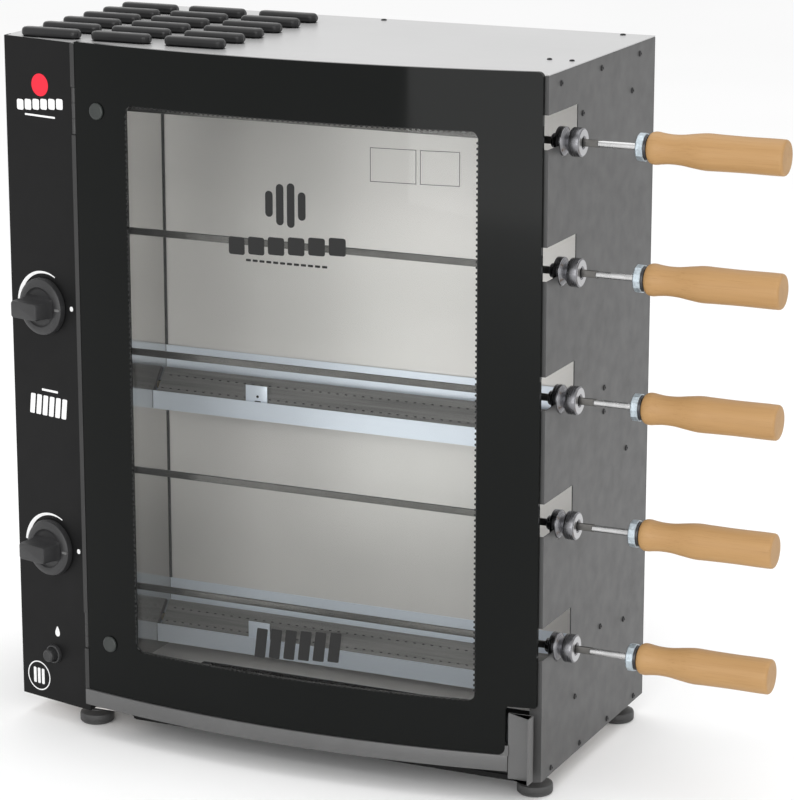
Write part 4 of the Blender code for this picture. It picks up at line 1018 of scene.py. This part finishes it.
def heat_scale(shape, along, height):
    """Band round the knob that grows from a thin tail to a thick start."""
    inner, outer = [], []
    for step in range(25):
        share = step / 24
        angle = math.radians(176 - 112 * share)
        half = 0.0022 * (1 - share) + 0.0005
        for side, edge in ((-1, inner), (1, outer)):
            radius = SCALE_RADIUS + side * half
            edge.append((along + radius * math.cos(angle), height + radius * math.sin(angle)))
    panel_print(shape, inner + outer[::-1])


def drop_mark(shape, along, height, half):
    """A plain drop, narrow at the top."""
    points = []
    for step in range(24):
        angle = 2 * math.pi * step / 24
        pinch = (1 - math.sin(angle)) / 2
        points.append((along + 0.8 * half * math.cos(angle) * (0.35 + 0.65 * pinch),
                       height + half * math.sin(angle)))
    panel_print(shape, points)


def emblem(shape, along, height):
    """Plain ring with three short bars in it."""
    inner, outer = EMBLEM_RADII
    segments = 48
    for step in range(segments):
        first = 2 * math.pi * step / segments
        second = 2 * math.pi * (step + 1) / segments
        corners = [(along + radius * math.cos(angle), height + radius * math.sin(angle))
                   for radius, angle in ((inner, first), (outer, first), (outer, second),
                                         (inner, second))]
        panel_print(shape, corners)
    for offset in (-0.0055, 0.0, 0.0055):
        panel_print(shape, round_block(along + offset, height, 0.0018, 0.0080, 0.0010, 3))


# ---- spits ------------------------------------------------------------------
def spit_axis(row):
    """Y and Z of a spit's axis."""
    y_low, y_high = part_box("spit_handle_1")
    low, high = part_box(f"spit_handle_{row}")
    return (y_low.y + y_high.y) / 2, (low.z + high.z) / 2


def smooth_profile(stations, length, start, steps=6):
    """Catmull-Rom curve through (share of length, radius) stations."""
    points = [(radius, start + share * length) for share, radius in stations]
    curve = []
    for index in range(len(points) - 1):
        p0 = Vector(points[max(index - 1, 0)])
        p1 = Vector(points[index])
        p2 = Vector(points[index + 1])
        p3 = Vector(points[min(index + 2, len(points) - 1)])
        for step in range(steps):
            t = step / steps
            curve.append(tuple(0.5 * (2 * p1 + (p2 - p0) * t + (2 * p0 - 5 * p1 + 4 * p2 - p3) * t ** 2
                                      + (3 * p1 - p0 - 3 * p2 + p3) * t ** 3)))
    curve.append(points[-1])
    return curve


def make_handle(row):
    """Turned grip: a bead at the ferrule, a waist and a long belly with a rounded end."""
    low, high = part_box(f"spit_handle_{row}")
    start, end = low.x, high.x
    outer = smooth_profile(HANDLE_STATIONS, end - start, start)
    radius, edge = outer[-1]
    rim = end - edge
    for step in range(1, 6):
        angle = math.radians(90 * step / 5)
        outer.append((radius - 0.0026 * (1 - math.cos(angle)), edge + rim * math.sin(angle)))
    profile = [(0.0, start), (0.0090, start)] + outer + [(0.0080, end), (0.0, end)]
    shape = bmesh.new()
    lathe(shape, profile, (0.0, *spit_axis(row)), (1, 0, 0), 56)
    piece = new_piece(f"wooden_grip_{row}", shape, "handle_wood", f"spit_{row}")
    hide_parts(f"spit_handle_{row}")


def make_ferrule(row):
    """Zinc nut with twelve flats and a round dark collar against the wood."""
    low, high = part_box(f"spit_ferrule_{row}")
    centre = (0.0, *spit_axis(row))
    shape = bmesh.new()
    bore, nut, ring = BORE_RADIUS, NUT_RADIUS, COLLAR_RADIUS
    seam = high.x - 0.0024
    facets = [(bore, seam), (nut - 0.0004, seam), (nut, seam - 0.0005), (nut, low.x + 0.0012),
              (nut - 0.0014, low.x), (bore, low.x)]
    lathe(shape, facets, centre, (1, 0, 0), 12, closed=True)
    piece = new_piece(f"handle_ferrule_{row}", shape, "ferrule_zinc", f"spit_{row}", 20)
    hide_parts(f"spit_ferrule_{row}")
    washer = bmesh.new()
    collar = [(bore, high.x), (ring - 0.0004, high.x), (ring, high.x - 0.0006), (ring, seam + 0.0001),
              (bore, seam + 0.0001)]
    lathe(washer, collar, centre, (1, 0, 0), 48, closed=True)
    new_piece(f"ferrule_ring_{row}", washer, "ferrule_ring", f"spit_{row}")


def make_bush(row):
    """Turned bush with a V groove, a bright face with the blade's slot drawn as a dark patch of painted
    shade, and a thin neck behind.
    """
    low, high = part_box(f"spit_bush_{row}")
    radius = (high.z - low.z) / 2
    face = high.x
    y, z = spit_axis(row)
    profile = [(0.0, face - 0.0008), (0.0056, face - 0.0008), (0.0062, face - 0.0001),
               (radius - 0.0012, face - 0.0001), (radius, face - 0.0010), (radius, face - 0.0098),
               (0.0085, face - 0.0138), (radius, face - 0.0172), (radius, face - 0.0236),
               (0.0095, face - 0.0243),
               (0.0066, face - 0.0252), (0.0066, low.x + 0.0008), (0.0058, low.x), (0.0, low.x)]
    shape = bmesh.new()
    lathe(shape, soften(profile, 0.0004, 2), (0.0, y, z), (1, 0, 0), 64)
    piece = new_piece(f"turned_bush_{row}", shape, "bush_steel", f"spit_{row}", 30)
    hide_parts(f"spit_bush_{row}")
    ring = bmesh.new()
    rim = [(0.0062, 0.0), (radius - 0.0013, 0.0), (radius - 0.0016, 0.0003), (0.0065, 0.0003)]
    lathe(ring, rim, (face - 0.0002, y, z), (1, 0, 0), 64, closed=True)
    new_piece(f"bush_face_{row}", ring, "bush_face", f"spit_{row}")
    # dark box just proud of the recessed face: painted shade standing in for the blade's slot
    slot = bmesh.new()
    rounded_box(slot, (face - 0.002, y - 0.0020, z - 0.0046), (face - 0.0004, y + 0.0020, z + 0.0046),
                0.0004, 2)
    new_piece(f"bush_slot_shade_{row}", slot, "recess", f"spit_{row}")


def make_rod(row):
    """Flat blade with rounded edges and a pointed tip, then a round rod into the handle."""
    low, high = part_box(f"spit_rod_{row}")
    y, z = spit_axis(row)
    shape = bmesh.new()
    rings = []
    half_y, half_z = BLADE_HALF
    for x, share in ((low.x, 0.45), (low.x + 0.004, 0.95), (low.x + 0.006, 1.0), (BLADE_END, 1.0)):
        outline = round_block(0.0, 0.0, half_y * share, half_z * share, 0.0005 * share, 3)
        rings.append([(x, y + a, z + b) for a, b in outline])
    loft(shape, rings)
    piece = new_piece(f"spit_blade_{row}", shape, "spit_steel", f"spit_{row}")
    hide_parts(f"spit_rod_{row}")
    rod = bmesh.new()
    profile = [(0.0, ROD_START), (0.0024, ROD_START), (ROD_RADIUS, ROD_START + 0.0009),
               (ROD_RADIUS, high.x), (0.0, high.x)]
    lathe(rod, profile, (0.0, y, z), (1, 0, 0), 32)
    new_piece(f"spit_round_rod_{row}", rod, "rod_steel", f"spit_{row}")


# ---- burners ----------------------------------------------------------------
def make_burner(name):
    """Slanted burner bar with two rows of ports drawn in painted shade, and the bright bracket on it."""
    low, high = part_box(f"burner_tray_{name}")
    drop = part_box("burner_tray_upper")[0].z - low.z
    start = BURNER_FOOT - Vector((0.0, drop))
    end = BURNER_HEAD - Vector((0.0, drop))
    run = (end - start).normalized()
    lift = Vector((-run.y, run.x))
    left, right = low.x + 0.002, high.x - 0.004
    foot, head = start + run * 0.0112, end - run * 0.0030
    base, face = lift * 0.0016, lift * 0.0070
    section = soften([foot + base, head + base, head + face, foot + face], 0.0012, 3, closed=True)
    shape = bmesh.new()
    loft(shape, [[(x, y, z) for y, z in section] for x in (left, right)])
    bar = new_piece(f"burner_bar_{name}", shape, "burner_black", "root")
    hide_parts(f"burner_tube_{name}")
    make_ports(name, start, run, lift, left, right)
    make_bracket(name, start + run * 0.0135 + lift * 0.0065)


def make_ports(name, start, run, lift, left, right):
    """Oval ports along the bar's face, drawn as thin dark patches of painted shade rather than cut."""
    shape = bmesh.new()
    count = PORTS_IN_ROW
    for row, distance in enumerate(PORT_ROWS):
        for step in range(count):
            x = left + (right - left) * (step + 0.5 + 0.5 * (row % 2)) / (count + 0.5)
            base = start + run * distance + lift * 0.0070
            outline = capsule(0.0030, 0.0009, (0.0, 0.0), 3)
            rings = []
            for out in (-0.0002, 0.00015):
                ring = []
                for a, b in outline:
                    point = base + run * b + lift * out
                    ring.append((x + a, point.x, point.y))
                rings.append(ring)
            loft(shape, rings)
    new_piece(f"burner_port_shades_{name}", shape, "recess", "root")


def make_bracket(name, foot):
    """Upright plate with a round hole and a square window, both drawn as dark patches of painted shade on
    its face.
    """
    left, right = BRACKET_SPAN
    bottom, top = foot.y - 0.0015, foot.y + 0.0205
    shape = bmesh.new()
    rounded_box(shape, (left, foot.x - 0.0007, bottom), (right, foot.x + 0.0005, top), 0.0003, 2)
    new_piece(f"burner_bracket_{name}", shape, "burner_steel", "root")
    # painted shade: dark patches where the round hole and the square window are not cut
    holes = bmesh.new()
    middle = (left + right) / 2 + 0.0015
    lathe(holes, [(0.0, 0.0), (0.0014, 0.0), (0.0014, 0.0003), (0.0, 0.0003)],
          (middle, foot.x - 0.0008, bottom + 0.0110), (0, -1, 0), 16)
    rounded_box(holes, (middle - 0.0034, foot.x - 0.0010, bottom + 0.0016),
                (middle + 0.0034, foot.x - 0.0006, bottom + 0.0066), 0.00015, 1)
    new_piece(f"bracket_opening_shades_{name}", holes, "recess", "root")


# ---- stage ------------------------------------------------------------------
def make_floor():
    shape = bmesh.new()
    bmesh.ops.create_grid(shape, x_segments=2, y_segments=2, size=12.0)
    mesh = bpy.data.meshes.new("floor")
    shape.to_mesh(mesh)
    shape.free()
    look = Surface("pale_floor", 0.9, 0.0, 0.0)
    film = look.noise(look.place(), 1.0, 2.0)
    look.colour(look.ramp(film, [(0.3, (0.93, 0.93, 0.93)), (0.7, (0.95, 0.95, 0.95))]))
    mesh.materials.append(look.material)
    floor = bpy.data.objects.new("floor", mesh)
    bpy.context.scene.collection.objects.link(floor)


def make_world():
    world = bpy.data.worlds.new("studio")
    world.use_nodes = True
    world.node_tree.nodes["Background"].inputs["Color"].default_value = (1.0, 1.0, 1.0, 1.0)
    world.node_tree.nodes["Background"].inputs["Strength"].default_value = 1.0
    bpy.context.scene.world = world
    bpy.context.scene.view_settings.view_transform = "Standard"


def make_light(name, place, target, size, power):
    lamp = bpy.data.lights.new(name, "AREA")
    lamp.shape = "RECTANGLE"
    lamp.size, lamp.size_y = size
    lamp.energy = power
    light = bpy.data.objects.new(name, lamp)
    light.location = place
    aim = Vector(target) - Vector(place)
    light.rotation_euler = aim.to_track_quat("-Z", "Y").to_euler()
    bpy.context.scene.collection.objects.link(light)


def make_lights():
    make_light("front_softbox", (0.6, -3.0, 1.6), (-0.05, 0.0, 0.3), (2.2, 1.6), 30)
    make_light("low_softbox", (0.5, -2.8, 0.30), (-0.05, 0.05, 0.16), (2.0, 0.8), 14)
    make_light("top_softbox", (0.0, 0.3, 2.6), (0.0, 0.0, 0.5), (2.4, 2.4), 18)
    make_light("right_softbox", (3.0, -0.3, 0.6), (0.1, 0.0, 0.20), (1.6, 1.2), 6)


def make_camera():
    """Long lens, to the right of the door and above it."""
    azimuth, elevation = math.radians(CAMERA_AZIMUTH), math.radians(CAMERA_ELEVATION)
    forward = Vector((-math.sin(azimuth) * math.cos(elevation), math.cos(azimuth) * math.cos(elevation),
                      -math.sin(elevation)))
    lens = bpy.data.cameras.new("camera")
    lens.lens = CAMERA_LENS
    lens.sensor_width = 36.0
    camera = bpy.data.objects.new("camera", lens)
    camera.location = CAMERA_PLACE
    camera.rotation_euler = forward.to_track_quat("-Z", "Y").to_euler()
    bpy.context.scene.collection.objects.link(camera)
    bpy.context.scene.camera = camera


LOOKS = make_materials()

paint_cad_nodes()
make_vents()
make_casing_screws()
make_rear_cover()
make_left_cover()
make_corner_shade_strip()
make_feet()
make_door_glass()
make_frit_dots()
make_glass_marks()
make_door_rail()
make_pull()
make_glass_buttons()
for side in ("upper", "lower"):
    make_hinge(side)
for side in KNOB_PLACES:
    make_knob(side)
make_igniter()
make_panel_prints()
for spit in SPIT_ROWS:
    make_handle(spit)
    make_ferrule(spit)
    make_bush(spit)
    make_rod(spit)
for burner in BURNERS:
    make_burner(burner)
make_floor()
make_world()
make_lights()
make_camera()

bpy.context.view_layer.update()
